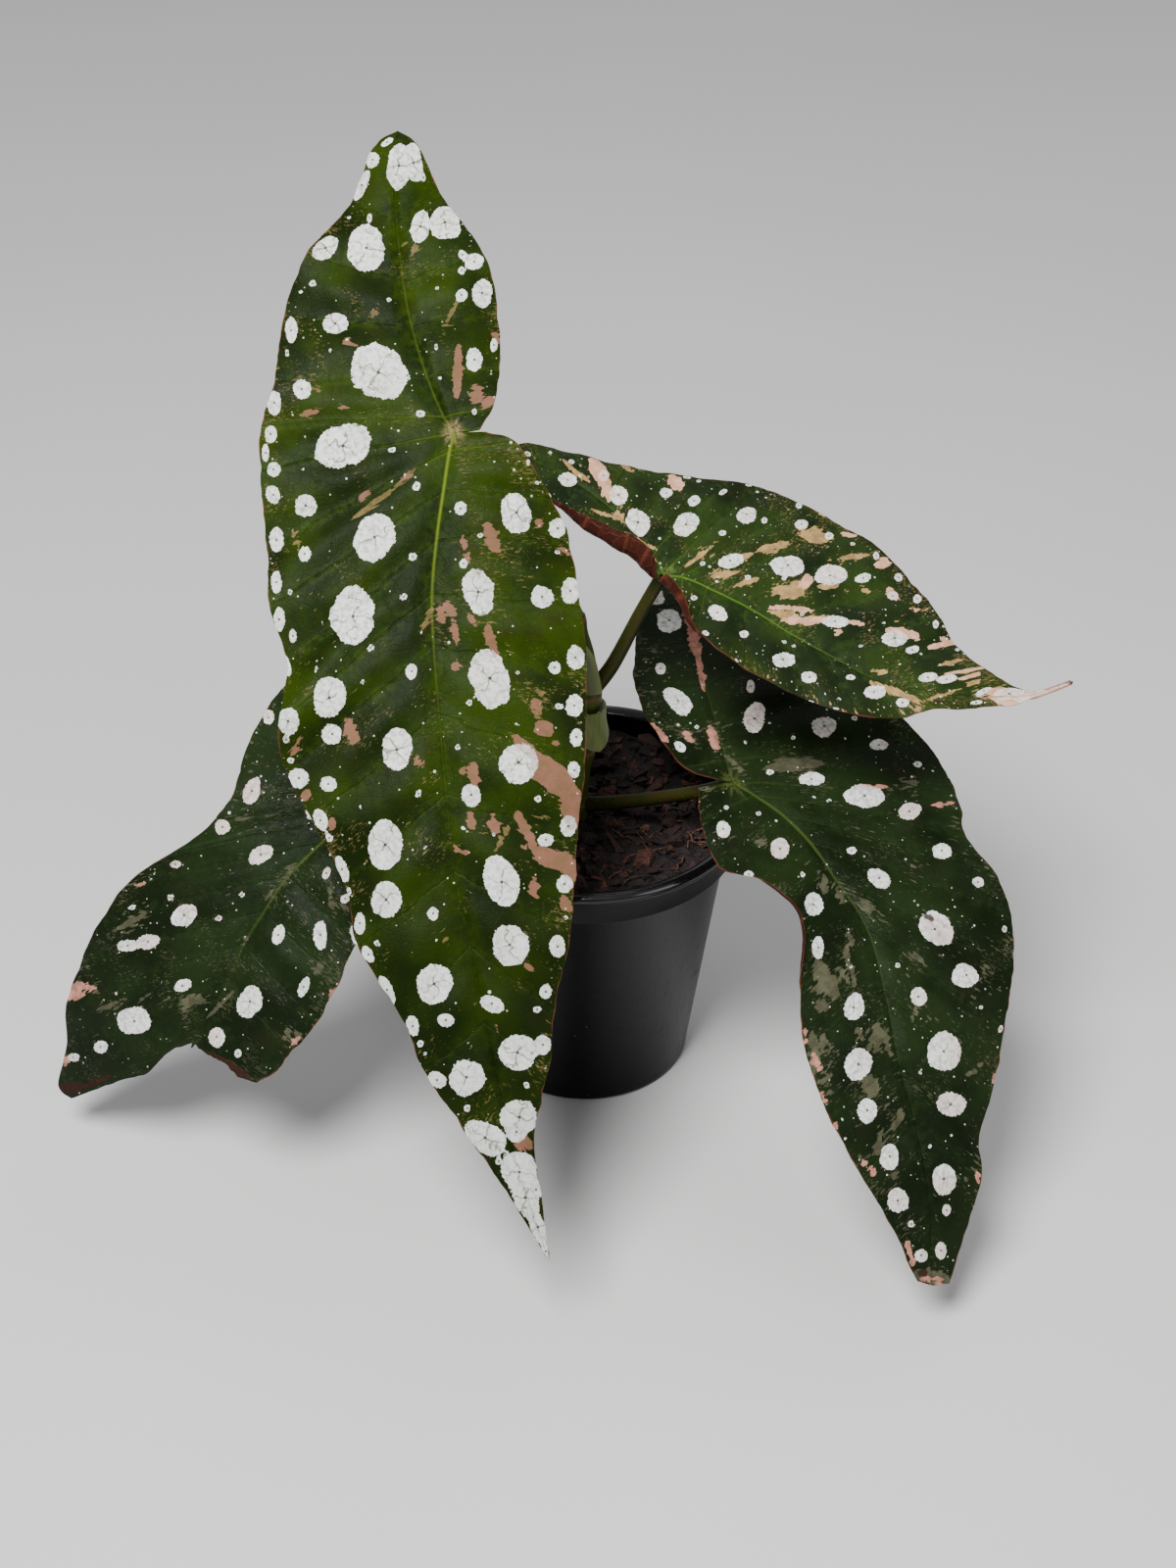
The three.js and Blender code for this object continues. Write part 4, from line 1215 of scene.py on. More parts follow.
def off_margin(margin, inner):
    """The direction square to a margin, away from the blade."""
    count = np.arange(len(margin))
    ahead = margin[np.minimum(count + 8, count[-1]), :2]
    behind = margin[np.maximum(count - 8, 0), :2]
    square = unit((ahead - behind)[:, ::-1] * [1, -1] + [1e-9, 0])
    outward = np.sign(((margin[:, :2] - inner) * square).sum(axis=1))
    return square * np.where(outward == 0, 1, outward)[:, None]


def wave_margin(leaf, half, margin, rib, outward, row, seed):
    """Gives a margin its small waves, and lets it bulge where it curls."""
    reach = np.linalg.norm(outward, axis=1)
    shift = wobble(margin, 6.0, seed) + 0.5 * wobble(margin, 2.4, seed + 3)
    shift *= MARGIN_WOBBLE * np.minimum(1, reach / 8)
    margin[:, :2] += outward / np.maximum(reach, 0.01)[:, None] * shift[:, None]
    for roll, share in rolls_of(leaf, half, row):
        margin[:, :2] += off_margin(margin, rib[:, :2]) * (roll["beyond"] * share)[:, None]
    margin[:, 2] += 0.5 * wobble(margin, 9.0, seed + 5) * np.minimum(1, reach / 12)


def margin_roll(leaf, half, margin, grid, row):
    """How far each point moves where a margin curls up and shows the underside."""
    move = np.zeros_like(grid)
    square = off_margin(margin, grid[:, 0, :2])[:, None]
    for roll, share in rolls_of(leaf, half, row):
        turn = math.radians(roll["degrees"])
        radius = np.maximum(roll["radius"] * share, 1e-6)[:, None]
        inside = ((margin[:, None, :2] - grid[..., :2]) * square).sum(axis=2)
        left = np.clip(inside, 0, radius)
        route = (1 - left / radius) * (radius * turn + roll["flap"] * share[:, None])
        bent = np.minimum(route, radius * turn)
        angle, rest = bent / radius, route - bent
        out = radius * np.sin(angle) + rest * np.cos(angle)
        move[..., :2] += (out - (radius - left))[..., None] * square
        move[..., 2] += radius * (1 - np.cos(angle)) + rest * np.sin(angle)
    return move


def tear_end(leaf, half, grid, row, seed):
    """Moves the end of a blade where its tip has torn off."""
    for side, shifts in leaf.get("tear", ()):
        if side == half[0]:
            near_end = np.clip(row - len(leaf["rows"]) + 2, 0, 1) ** 2
            ragged = np.interp(COLUMN_SHARES, *zip(*shifts)) + 0.35 * wobble(
                np.column_stack([20 * COLUMN_SHARES, 0 * COLUMN_SHARES]), 1.3, seed)
            grid[..., 1] += near_end[:, None] * ragged


print("margins with curls:", sum(len(leaf.get("rolls", ())) for leaf in LEAVES.values()))

# %% Blade sheet
def vein_spacing(grid, row, outward):
    """How far apart two main veins are, square to them, at each point."""
    along = np.gradient(grid, row, axis=0)[..., :2]
    towards = unit(outward + [1e-9, 0])[:, None]
    return np.abs(along[..., 0] * towards[..., 1] - along[..., 1] * towards[..., 0])


def half_sheet(leaf, half, margin_points, whole_rib, seed):
    """One half of a blade, without its midrib: its margin, which of its rows have any width, and
    what is known about the points in those rows."""
    steps = (len(margin_points) - 1) * ROWS_PER_VEIN + 1
    at = np.arange(steps) / ROWS_PER_VEIN
    row = at + half[1]
    rib = whole_rib[half[1] * ROWS_PER_VEIN:][:steps]
    margin = curve_at(margin_points, at)
    outward = margin[:, :2] - rib[:, :2]
    wide = np.linalg.norm(outward, axis=1) >= 0.01
    wave_margin(leaf, half, margin, rib, outward, row, seed)
    grid = rib[:, None] + (margin - rib)[:, None] * COLUMN_SHARES[:, None]
    tear_end(leaf, half, grid, row, seed)
    known = {
        "points": grid,
        "row": np.broadcast_to(row[:, None], grid.shape[:2]),
        "across": np.broadcast_to(COLUMN_SHARES, grid.shape[:2]),
        "lift": np.broadcast_to(margin[:, 2:], grid.shape[:2]),
        "spacing": vein_spacing(grid, row, outward),
        "rolled": margin_roll(leaf, half, margin, grid, row),
    }
    return margin, wide, {key: np.concatenate(list(value[wide])) for key, value in known.items()}


def nearest(points, line):
    """How far each point is from the nearest point of a line, taken in batches."""
    found = [np.linalg.norm(batch[:, None] - line[None], axis=2).min(axis=1)
             for batch in np.array_split(points, max(1, len(points) // 2000))]
    return np.concatenate(found)


def blade_sheet(leaf, seed):
    """The upper face of a blade in its own frame, and the point numbers of its faces."""
    row = np.arange((len(leaf["rows"]) - 1) * ROWS_PER_VEIN + 1) / ROWS_PER_VEIN
    rib = curve_at([(*points[1], 0) for points in leaf["rows"]], row)
    parts = [{"points": rib, "row": row, "across": 0 * row, "lift": 0 * row,
              "spacing": np.linalg.norm(np.gradient(rib, row, axis=0), axis=1),
              "rolled": np.zeros((len(rib), 3))}]
    faces, margins, count = [], [], len(rib)
    for side, first, margin_points in half_blades(leaf):
        margin, wide, known = half_sheet(leaf, (side, first), margin_points, rib, seed)
        margins.append(margin[:, :2])
        parts.append(known)
        numbers = np.repeat(first * ROWS_PER_VEIN + np.arange(len(wide))[:, None],
                            len(COLUMN_SHARES) + 1, axis=1)
        numbers[wide, 1:] = count + np.arange(len(known["row"])).reshape(wide.sum(), -1)
        count += len(known["row"])
        half = grid_faces(numbers.tolist())
        faces += half if side == "left" else [face[::-1] for face in half]
    sheet = {key: np.concatenate([part[key] for part in parts]) for key in parts[0]}
    flat, lift = sheet["points"], sheet.pop("lift")
    flat[:, 2] = upper_height(leaf, flat, lift, sheet["row"], sheet["across"], sheet["spacing"])
    uneven = wobble(flat, 11.0, seed + 9) + 0.45 * wobble(flat, 4.0, seed + 14)
    flat[:, 2] += UNEVENNESS * uneven * fade_at_ends(leaf, sheet["row"])
    sheet.update(faces=faces, rib_mm=nearest(flat[:, :2], rib[:, :2]),
                 edge_mm=nearest(flat[:, :2], np.vstack(margins)))
    return sheet


sheets = {name: blade_sheet(leaf, 20 * k) for k, (name, leaf) in enumerate(LEAVES.items())}
for name, sheet in sheets.items():
    sheet["pixels"] = to_pixels(onto_plant(LEAVES[name], sheet["points"]))
    print(f"blade {name}: {len(sheet['points'])} points on its upper face")

# %% [markdown]
# ## The blades: where each spot is
#
# The spots aren't evenly scattered. The large ones stand in two loose rows, between the veins, the
# middling ones gather near the margin, and a few run together. A random pattern never gets that
# right, so each spot that shows is listed one by one: its middle in the picture, its width and
# height there, and where it leans, its turn in degrees, clockwise. The same goes for the salmon,
# cream and dry patches, which are short brush strokes: two ends and a width. A spot or stroke is
# then carried back through the camera onto its blade, where it becomes a real shape in millimetres.
#
# Where one blade hides another, spots by a seeded rule take over.

# %% Front blade's pattern
SPOTS = {}
STROKES = {}
SPOTS["front"] = [
    (395, 145, 15, 7, -32), (380, 163, 15, 16), (369, 189, 12, 36, 24), (407, 169, 25, 49, 4),
    (422, 166, 20, 40, -8), (432, 181, 6, 9), (356, 221, 5, 6), (377, 222, 6, 9),
    (374, 253, 38, 53), (429, 231, 19, 34, 14), (454, 227, 33, 35), (332, 253, 32, 20, -40),
    (484, 267, 21, 17, -20), (472, 260, 9, 12, -40), (471, 276, 9, 9), (319, 289, 9, 8),
    (307, 298, 5, 5), (471, 301, 12, 15, 20), (492, 299, 21, 28), (397, 306, 6, 6),
    (446, 294, 5, 5), (342, 330, 27, 23), (297, 337, 13, 29), (445, 354, 5, 8), (504, 352, 9, 15),
    (484, 367, 18, 24), (337, 358, 5, 6), (293, 360, 6, 8), (386, 380, 63, 54, 40),
    (308, 397, 19, 21), (280, 411, 15, 25), (449, 386, 5, 5), (429, 422, 11, 8), (484, 420, 6, 7),
    (350, 455, 60, 42, -22), (276, 443, 12, 19), (271, 462, 8, 19), (310, 446, 5, 6),
    (400, 459, 9, 7), (308, 479, 6, 6), (279, 479, 15, 15), (279, 505, 15, 20, -20),
    (312, 516, 24, 24), (413, 485, 6, 5), (399, 491, 6, 4), (425, 496, 10, 11), (470, 519, 13, 15),
    (527, 523, 32, 41, -18), (548, 493, 6, 6), (539, 472, 5, 7), (569, 539, 18, 22),
    (382, 548, 41, 50, 20), (282, 551, 16, 27), (311, 565, 14, 17), (421, 568, 10, 9),
    (473, 575, 9, 11), (490, 546, 7, 6), (569, 563, 9, 6), (340, 584, 5, 8), (282, 594, 12, 24),
    (296, 604, 6, 7), (488, 604, 33, 49, -12), (553, 609, 24, 24), (582, 603, 19, 26),
    (360, 629, 44, 60, 10), (412, 609, 10, 9), (285, 632, 12, 25), (299, 649, 9, 15),
    (329, 636, 5, 5), (430, 646, 5, 5), (509, 646, 5, 5), (586, 640, 6, 4), (378, 661, 10, 9),
    (349, 674, 5, 5), (323, 683, 5, 8), (587, 671, 20, 25), (566, 681, 14, 14),
    (500, 692, 41, 60, -15), (420, 685, 13, 17), (528, 686, 7, 6), (370, 696, 7, 6),
    (293, 680, 8, 23, -12), (336, 712, 34, 43, 8), (422, 720, 6, 6), (479, 717, 9, 8),
    (570, 721, 9, 8), (586, 720, 18, 24), (294, 736, 22, 28), (292, 755, 9, 9), (339, 749, 22, 22),
    (405, 765, 32, 44), (528, 739, 6, 6), (588, 752, 14, 20), (467, 762, 8, 8), (529, 778, 42, 41),
    (297, 776, 9, 7), (305, 794, 22, 22), (335, 800, 18, 17), (385, 799, 5, 5), (427, 810, 9, 9),
    (481, 811, 22, 24), (549, 815, 9, 9), (586, 786, 14, 18), (368, 825, 4, 8),
    (327, 837, 14, 25, -22), (336, 855, 9, 9), (393, 862, 36, 52), (433, 864, 7, 7),
    (473, 845, 6, 5), (504, 851, 6, 6), (557, 857, 18, 13), (580, 843, 17, 23), (394, 918, 32, 38),
    (349, 887, 12, 29, -20), (356, 910, 6, 9), (367, 942, 12, 23), (385, 963, 9, 9),
    (512, 900, 38, 54, -14), (484, 908, 7, 4), (576, 902, 18, 20), (577, 937, 7, 7),
    (442, 932, 13, 14), (445, 959, 5, 5), (520, 964, 37, 43, -14), (569, 966, 17, 25),
    (376, 974, 12, 20, -35), (443, 1004, 37, 43), (395, 1010, 13, 32, -25),
    (502, 1024, 26, 16, 22), (557, 1012, 14, 15), (548, 1030, 11, 8), (562, 999, 5, 5),
    (455, 1041, 20, 15), (421, 1047, 14, 22, -12), (429, 1065, 8, 8), (433, 1075, 7, 5),
    (479, 1066, 7, 6), (528, 1074, 41, 37, 15), (554, 1066, 17, 21), (476, 1099, 38, 39),
    (446, 1102, 20, 17, 25), (537, 1107, 9, 8), (477, 1131, 10, 8), (530, 1140, 41, 36),
    (527, 1155, 22, 22), (495, 1161, 46, 32, 35), (509, 1185, 9, 8), (530, 1196, 36, 44, -10),
    (536, 1222, 26, 44, -22), (549, 1252, 16, 38, -22), (557, 1277, 7, 24, -20),
    (547, 1214, 14, 20),
]
STROKES["front", "pink"] = [
    (468, 354, 466, 404, 8), (487, 397, 486, 408, 11), (492, 414, 503, 409, 7),
    (505, 340, 508, 348, 5), (352, 347, 361, 352, 6), (308, 423, 328, 419, 4),
    (346, 417, 353, 415, 3), (410, 490, 420, 482, 4), (366, 510, 376, 504, 5),
    (497, 537, 507, 562, 11), (472, 549, 479, 576, 5), (449, 619, 451, 634, 8),
    (456, 616, 463, 628, 7), (463, 634, 466, 655, 7), (479, 628, 485, 640, 5),
    (498, 641, 505, 668, 8), (465, 672, 465, 688, 4), (545, 714, 547, 726, 8),
    (550, 739, 558, 745, 14), (566, 757, 569, 760, 5), (526, 754, 545, 770, 10),
    (551, 782, 578, 804, 26), (580, 800, 584, 838, 20), (484, 783, 485, 796, 11),
    (480, 830, 481, 843, 8), (501, 834, 507, 848, 9), (528, 831, 546, 866, 9),
    (549, 868, 579, 884, 16), (576, 876, 584, 896, 14), (545, 898, 545, 911, 9),
    (576, 921, 580, 927, 10), (426, 779, 430, 776, 7), (311, 812, 314, 812, 10),
    (339, 837, 340, 846, 7), (296, 767, 308, 763, 5), (306, 752, 307, 760, 4),
    (464, 865, 466, 871, 6), (475, 870, 476, 872, 4), (506, 1048, 508, 1055, 5),
    (532, 1165, 541, 1168, 11), (470, 785, 471, 788, 4), (533, 862, 534, 865, 5),
    (540, 986, 541, 990, 7), (572, 562, 582, 566, 6), (549, 533, 552, 537, 5),
    (355, 738, 361, 754, 12),
]
STROKES["front", "cream"] = [
    (432, 640, 441, 620, 5), (360, 530, 400, 500, 5), (400, 500, 424, 478, 3),
    (300, 540, 304, 560, 5), (420, 262, 424, 250, 4), (380, 322, 384, 318, 5),
    (455, 330, 470, 300, 3), (318, 396, 325, 399, 4), (546, 700, 552, 712, 5),
    (548, 730, 553, 720, 6), (505, 870, 520, 840, 4),
]
STROKES["front", "dry"] = [(559, 1284, 560, 1288, 3)]
print("front blade:", len(SPOTS["front"]), "spots")

# %% Right blade's pattern
SPOTS["right"] = [
    (579, 490, 20, 12, 18), (583, 471, 7, 6), (561, 462, 5, 4), (631, 505, 20, 19, 30),
    (616, 485, 10, 12), (651, 533, 24, 31, -22), (680, 503, 14, 11), (708, 511, 14, 11, -30),
    (700, 535, 29, 22, -30), (738, 502, 10, 6, -20), (762, 525, 21, 17, -15), (780, 531, 7, 7),
    (737, 544, 9, 6), (745, 572, 28, 14, -12), (717, 575, 7, 5), (732, 625, 22, 15, 28),
    (708, 610, 8, 6), (759, 647, 12, 9), (720, 646, 9, 6, 20), (763, 589, 8, 6), (731, 593, 5, 4),
    (804, 577, 36, 21), (847, 587, 35, 20, -6), (881, 590, 18, 10, -14), (818, 535, 15, 11),
    (846, 547, 10, 8), (870, 555, 6, 4), (852, 634, 28, 12), (911, 608, 12, 9), (936, 611, 9, 9),
    (917, 589, 9, 9), (894, 567, 7, 9), (913, 651, 29, 16), (931, 663, 16, 9, -10),
    (902, 636, 6, 4), (955, 637, 7, 9), (799, 673, 25, 16, 5), (826, 691, 17, 13),
    (868, 691, 11, 6), (892, 706, 22, 14), (921, 717, 15, 10), (947, 691, 20, 10, -8),
    (966, 693, 22, 9, -10), (1004, 705, 18, 6, -25), (996, 717, 13, 5, -8), (856, 713, 6, 4),
    (842, 708, 4, 4), (878, 659, 7, 4), (800, 655, 6, 4), (810, 659, 6, 4), (825, 716, 12, 4, 8),
    (753, 674, 8, 4, 15), (788, 701, 8, 3, 15), (853, 723, 8, 3, 8), (764, 495, 8, 3, 10),
    (701, 487, 9, 3, 8), (713, 491, 5, 4), (815, 516, 8, 7, 30), (787, 505, 4, 3),
    (773, 502, 5, 3), (592, 528, 26, 8, 30), (818, 627, 7, 4), (800, 590, 6, 5), (966, 652, 4, 3),
    (977, 663, 5, 4), (918, 678, 4, 3), (902, 722, 4, 3), (877, 670, 3, 3),
    (1030, 708, 34, 13, -4),
]
STROKES["right", "pink"] = [
    (605, 470, 618, 498, 10), (618, 498, 622, 506, 12), (688, 488, 691, 496, 12),
    (835, 522, 839, 525, 6), (860, 545, 872, 547, 5), (894, 577, 906, 573, 8),
    (783, 620, 831, 623, 4), (800, 633, 842, 632, 8), (862, 634, 880, 636, 4),
    (850, 643, 858, 645, 5), (908, 643, 935, 650, 9), (947, 661, 973, 656, 5),
    (960, 688, 1004, 681, 3), (978, 693, 998, 688, 3), (1012, 707, 1030, 706, 13),
    (906, 598, 915, 612, 6), (931, 623, 935, 622, 6), (962, 655, 975, 653, 6),
    (818, 598, 826, 590, 8),
]
STROKES["right", "cream"] = [
    (822, 546, 842, 549, 14), (832, 540, 838, 544, 8), (774, 562, 806, 554, 7),
    (736, 575, 768, 566, 5), (858, 570, 886, 566, 5), (727, 588, 752, 584, 6),
    (792, 604, 822, 596, 11), (800, 608, 820, 600, 10), (838, 598, 854, 596, 8),
    (790, 625, 820, 633, 7), (820, 636, 842, 630, 8), (893, 685, 906, 686, 4),
    (890, 697, 925, 710, 7), (925, 710, 938, 716, 7), (605, 520, 640, 534, 4),
    (630, 528, 632, 527, 8), (640, 545, 668, 560, 4), (655, 560, 672, 575, 4),
    (700, 578, 724, 560, 4), (748, 600, 774, 590, 4), (575, 470, 600, 490, 4),
    (960, 679, 982, 673, 3), (985, 699, 1000, 695, 3), (948, 714, 975, 704, 3),
    (880, 600, 888, 606, 4), (636, 472, 642, 480, 4),
]
STROKES["right", "dry"] = [(953, 716, 962, 716, 2)]
print("right blade:", len(SPOTS["right"]), "spots")

# %% Lower blades' patterns
SPOTS["lower_right"] = [
    (683, 633, 26, 24), (674, 682, 12, 12), (692, 715, 37, 19, 45), (770, 733, 23, 31, 8),
    (766, 700, 10, 14), (841, 741, 27, 21), (872, 733, 7, 7), (761, 757, 5, 7), (809, 753, 6, 6),
    (694, 762, 14, 9, 40), (711, 742, 6, 5), (897, 760, 21, 12), (936, 780, 11, 8),
    (828, 795, 27, 15), (786, 788, 10, 7), (882, 812, 42, 23, 4), (846, 817, 6, 5),
    (928, 828, 25, 17, -15), (831, 813, 5, 4), (741, 824, 6, 5), (774, 830, 7, 5),
    (738, 846, 14, 18, -20), (796, 866, 19, 22), (869, 868, 11, 9), (961, 868, 19, 18),
    (897, 896, 26, 18, 40), (998, 900, 12, 11), (764, 892, 11, 8), (819, 892, 6, 7),
    (830, 923, 20, 24), (954, 948, 42, 28, 40), (835, 967, 13, 24), (986, 995, 28, 24, 15),
    (937, 1017, 18, 20), (871, 1028, 22, 30, 12), (963, 1073, 34, 38), (1025, 948, 6, 8),
    (876, 1086, 28, 37, 22), (970, 1127, 30, 26), (885, 1133, 22, 26, 10), (908, 1180, 20, 26, 10),
    (963, 1203, 25, 33), (916, 1225, 22, 26), (966, 1235, 10, 13), (960, 1276, 12, 18),
    (940, 1281, 14, 14), (930, 1249, 9, 8), (916, 985, 8, 6), (868, 986, 6, 6), (939, 1095, 5, 6),
    (949, 1170, 5, 5), (1001, 1028, 6, 5), (1021, 1050, 5, 9, 20), (862, 1161, 5, 6),
    (927, 950, 4, 4), (968, 928, 4, 4), (974, 925, 4, 4),
]
STROKES["lower_right", "pink"] = [
    (698, 622, 706, 640, 6), (706, 640, 711, 668, 9), (712, 668, 718, 704, 5),
    (726, 744, 730, 764, 8), (700, 748, 706, 756, 5), (872, 803, 908, 802, 3),
    (950, 822, 974, 819, 3), (822, 1050, 821, 1062, 4), (831, 1078, 835, 1088, 7),
    (838, 1118, 842, 1124, 5), (852, 1148, 855, 1152, 3), (996, 1196, 998, 1206, 4),
    (926, 1270, 932, 1290, 6), (888, 1192, 890, 1196, 6), (880, 1184, 883, 1188, 4),
    (1018, 1095, 1012, 1106, 3), (666, 740, 679, 755, 7), (938, 1305, 964, 1308, 6),
]
STROKES["lower_right", "cream"] = [
    (694, 746, 712, 760, 5), (728, 744, 731, 762, 9), (782, 784, 838, 779, 9),
    (790, 776, 836, 776, 5), (842, 895, 841, 910, 7), (856, 910, 860, 918, 8),
    (882, 922, 890, 928, 9), (866, 952, 869, 962, 5), (835, 985, 850, 1012, 15),
    (834, 1012, 845, 1000, 10), (858, 990, 866, 1004, 6), (864, 966, 866, 990, 5),
    (838, 1024, 841, 1030, 9), (868, 986, 872, 1004, 4), (930, 974, 942, 981, 5),
    (896, 1048, 894, 1070, 10), (903, 1058, 908, 1074, 7), (874, 1048, 880, 1060, 5),
    (882, 1104, 892, 1112, 14), (880, 1110, 890, 1098, 8), (830, 1056, 834, 1086, 8),
    (840, 1056, 838, 1072, 6), (912, 1150, 920, 1136, 8), (895, 1176, 900, 1166, 9),
    (776, 862, 778, 858, 7), (920, 798, 936, 798, 4), (902, 806, 912, 806, 3),
    (710, 800, 730, 806, 3), (984, 1100, 1002, 1085, 3), (930, 1040, 936, 1030, 4),
    (930, 888, 932, 882, 4), (876, 1180, 879, 1184, 6), (1000, 1000, 1010, 985, 3),
    (740, 770, 760, 790, 4), (910, 1200, 916, 1196, 4), (936, 1302, 966, 1306, 12),
]
STROKES["lower_right", "dry"] = [
    (932, 1296, 952, 1302, 4), (940, 1308, 948, 1310, 3), (974, 817, 977, 821, 3),
    (946, 934, 950, 938, 7),
]
SPOTS["lower_left"] = [
    (274, 732, 12, 16), (257, 807, 17, 30, 22), (227, 844, 15, 16), (266, 872, 28, 18, -30),
    (179, 882, 12, 9), (153, 897, 5, 5), (174, 916, 8, 10), (135, 926, 10, 7),
    (188, 934, 29, 21, -25), (247, 913, 8, 8), (223, 937, 9, 8), (284, 954, 13, 23, 20),
    (327, 954, 15, 31), (333, 891, 8, 14, 20), (130, 965, 22, 14), (151, 961, 24, 16, -12),
    (310, 1007, 11, 24, 20), (186, 1006, 19, 14, -25), (137, 1042, 34, 29),
    (255, 1022, 26, 33, 22), (221, 1058, 17, 20), (103, 1068, 15, 14), (75, 1079, 13, 9),
    (243, 1075, 8, 10), (192, 905, 4, 4), (208, 958, 4, 3), (165, 1002, 4, 4),
]
STROKES["lower_left", "pink"] = [
    (71, 1018, 83, 1004, 9), (83, 1006, 97, 1010, 5), (86, 1014, 75, 1019, 6),
    (66, 1084, 70, 1080, 6), (140, 904, 146, 902, 4), (296, 1068, 306, 1058, 3),
    (336, 1020, 341, 1010, 3),
]
STROKES["lower_left", "cream"] = [
    (186, 1023, 206, 1020, 8), (188, 1030, 194, 1026, 6), (262, 812, 268, 804, 4),
    (270, 921, 286, 898, 2), (286, 898, 303, 880, 3), (247, 966, 254, 952, 2),
    (322, 992, 326, 986, 5), (291, 1060, 294, 1050, 3), (240, 836, 258, 834, 3),
    (120, 948, 150, 932, 4), (100, 1030, 124, 1022, 3), (210, 1040, 240, 1010, 3),
    (336, 906, 340, 930, 4), (93, 1010, 100, 1012, 4),
]
STROKES["lower_left", "dry"] = [
    (203, 1077, 232, 1087, 12), (228, 1085, 254, 1106, 13), (60, 1112, 84, 1108, 8),
    (84, 1110, 112, 1098, 4),
]
HIDDEN_BEYOND = {         # a line in the picture: what lies to its left, going along it, is hidden
    "right": ((592, 575), (530, 445)),
    "lower_right": ((640, 600), (945, 735)),
    "lower_left": ((283, 690), (372, 1010)),
}
print("lower blades:", len(SPOTS["lower_right"]) + len(SPOTS["lower_left"]), "spots")

# %% [markdown]
# ## The blades: from the picture onto the leaf
#
# Near any point of a blade, pixels and millimetres are related by a small linear map. The helper
# below finds that map from the sheet's nearest points. A round spot that the camera sees as an
# ellipse then comes out round again on a blade that is seen at a slant.
#
# For each point of the sheet, the *reach* into a spot is how many millimetres it lies inside the
# spot's outline, and below zero outside. A finish can then roughen that outline at will.

# %% Spots in millimetres
NEIGHBOURS = (14, 60)     # how many of the sheet's points a place is read from
WELL_SPREAD = 1.0         # below this, they lie nearly in one line and more of them are taken
OUTSIDE = -9.0            # the reach of a point that is far from every spot or stroke
SPOT_GAP = 2.6            # between two spots, for the rule that places hidden ones
HIDDEN_TRIES = 420        # how often the rule tries to place one,
HIDDEN_LARGE_TRIES = 60   # and how many of these tries are for a large one
LARGE_SPOTS = (2.2, 4.4)  # mm, the radius
SMALL_SPOTS = (0.6, 1.9)
OFF_MIDRIB = 0.12         # of the way to the margin, and such a spot's middle is past it
STROKE_BELLY = 1.2        # how much wider a stroke is in its middle than was read from the picture
STROKE_OVERRUN = 0.8      # of half its width, past each end
PALE_TIP_GROWTH = 3.0     # mm of reach that a pale tip gains for each row
random.seed(31)


def place_on_blade(sheet, pixel):
    """The place on a blade that shows at a pixel, and how far it moves for one pixel each way."""
    away = np.linalg.norm(sheet["pixels"] - pixel, axis=1)
    for count in NEIGHBOURS:
        near = np.argpartition(away, count)[:count]
        known = np.column_stack([sheet["pixels"][near] - pixel, np.ones(count)])
        fit, _, _, spread = np.linalg.lstsq(known, sheet["points"][near, :2], rcond=None)
        if spread[-1] > WELL_SPREAD:
            break
    return fit[2], fit[:2].T


def mean_radius(form):
    """The radius of a circle that is as large as an ellipse."""
    return math.sqrt(abs(np.linalg.det(form)))


def spot_on_blade(sheet, x, y, width, height, turn=0):
    middle, stretch = place_on_blade(sheet, (x, y))
    angle = math.radians(turn)
    turned = np.array([[math.cos(angle), -math.sin(angle)], [math.sin(angle), math.cos(angle)]])
    return middle, stretch @ turned @ np.diag([width / 2, height / 2])


def hidden_spots(sheet, line, known):
    """Spots by rule, where the picture shows none of the blade."""
    (x0, y0), (x1, y1) = line
    pixels = sheet["pixels"]
    beyond = (x1 - x0) * (pixels[:, 1] - y0) - (y1 - y0) * (pixels[:, 0] - x0) < 0
    places = sheet["points"][beyond & (sheet["across"] > OFF_MIDRIB)][:, :2]
    spots = list(known)
    for attempt in range(HIDDEN_TRIES):
        middle = places[random.randrange(len(places))]
        radius = random.uniform(*(LARGE_SPOTS if attempt < HIDDEN_LARGE_TRIES else SMALL_SPOTS))
        clear = all(np.linalg.norm(middle - other) > radius + mean_radius(form) + SPOT_GAP
                    for other, form in spots)
        if clear:
            spots.append((middle, np.diag([radius, radius * random.uniform(1.0, 1.35)])))
    return spots[len(known):]


def spot_reach(points, spots):
    """For each point, its reach into the nearest spot, and its place from that spot's middle."""
    reach = np.full(len(points), OUTSIDE)
    place = np.zeros((len(points), 3))
    for middle, form in spots:
        offset = points - middle
        away = np.linalg.norm(offset, axis=1)
        share = np.maximum(np.linalg.norm(offset @ np.linalg.inv(form).T, axis=1), 1e-3)
        size = mean_radius(form)
        own = np.where(share > 0.05, away / share - away, size)
        better = own > reach
        reach[better] = own[better]
        place[better, :2] = offset[better]
        place[better, 2] = size
    return reach, place


def stroke_on_blade(sheet, x0, y0, x1, y1, width):
    """A brush stroke is a long ellipse, a little longer than its middle line."""
    first, stretch = place_on_blade(sheet, (x0, y0))
    second, _ = place_on_blade(sheet, (x1, y1))
    half = width / 2 * mean_radius(stretch)
    line = second - first
    length = max(np.linalg.norm(line), 1e-3)
    along = line / length
    reach = length / 2 + STROKE_OVERRUN * half
    form = np.column_stack([along * reach, np.array([-along[1], along[0]]) * half * STROKE_BELLY])
    return (first + second) / 2, form


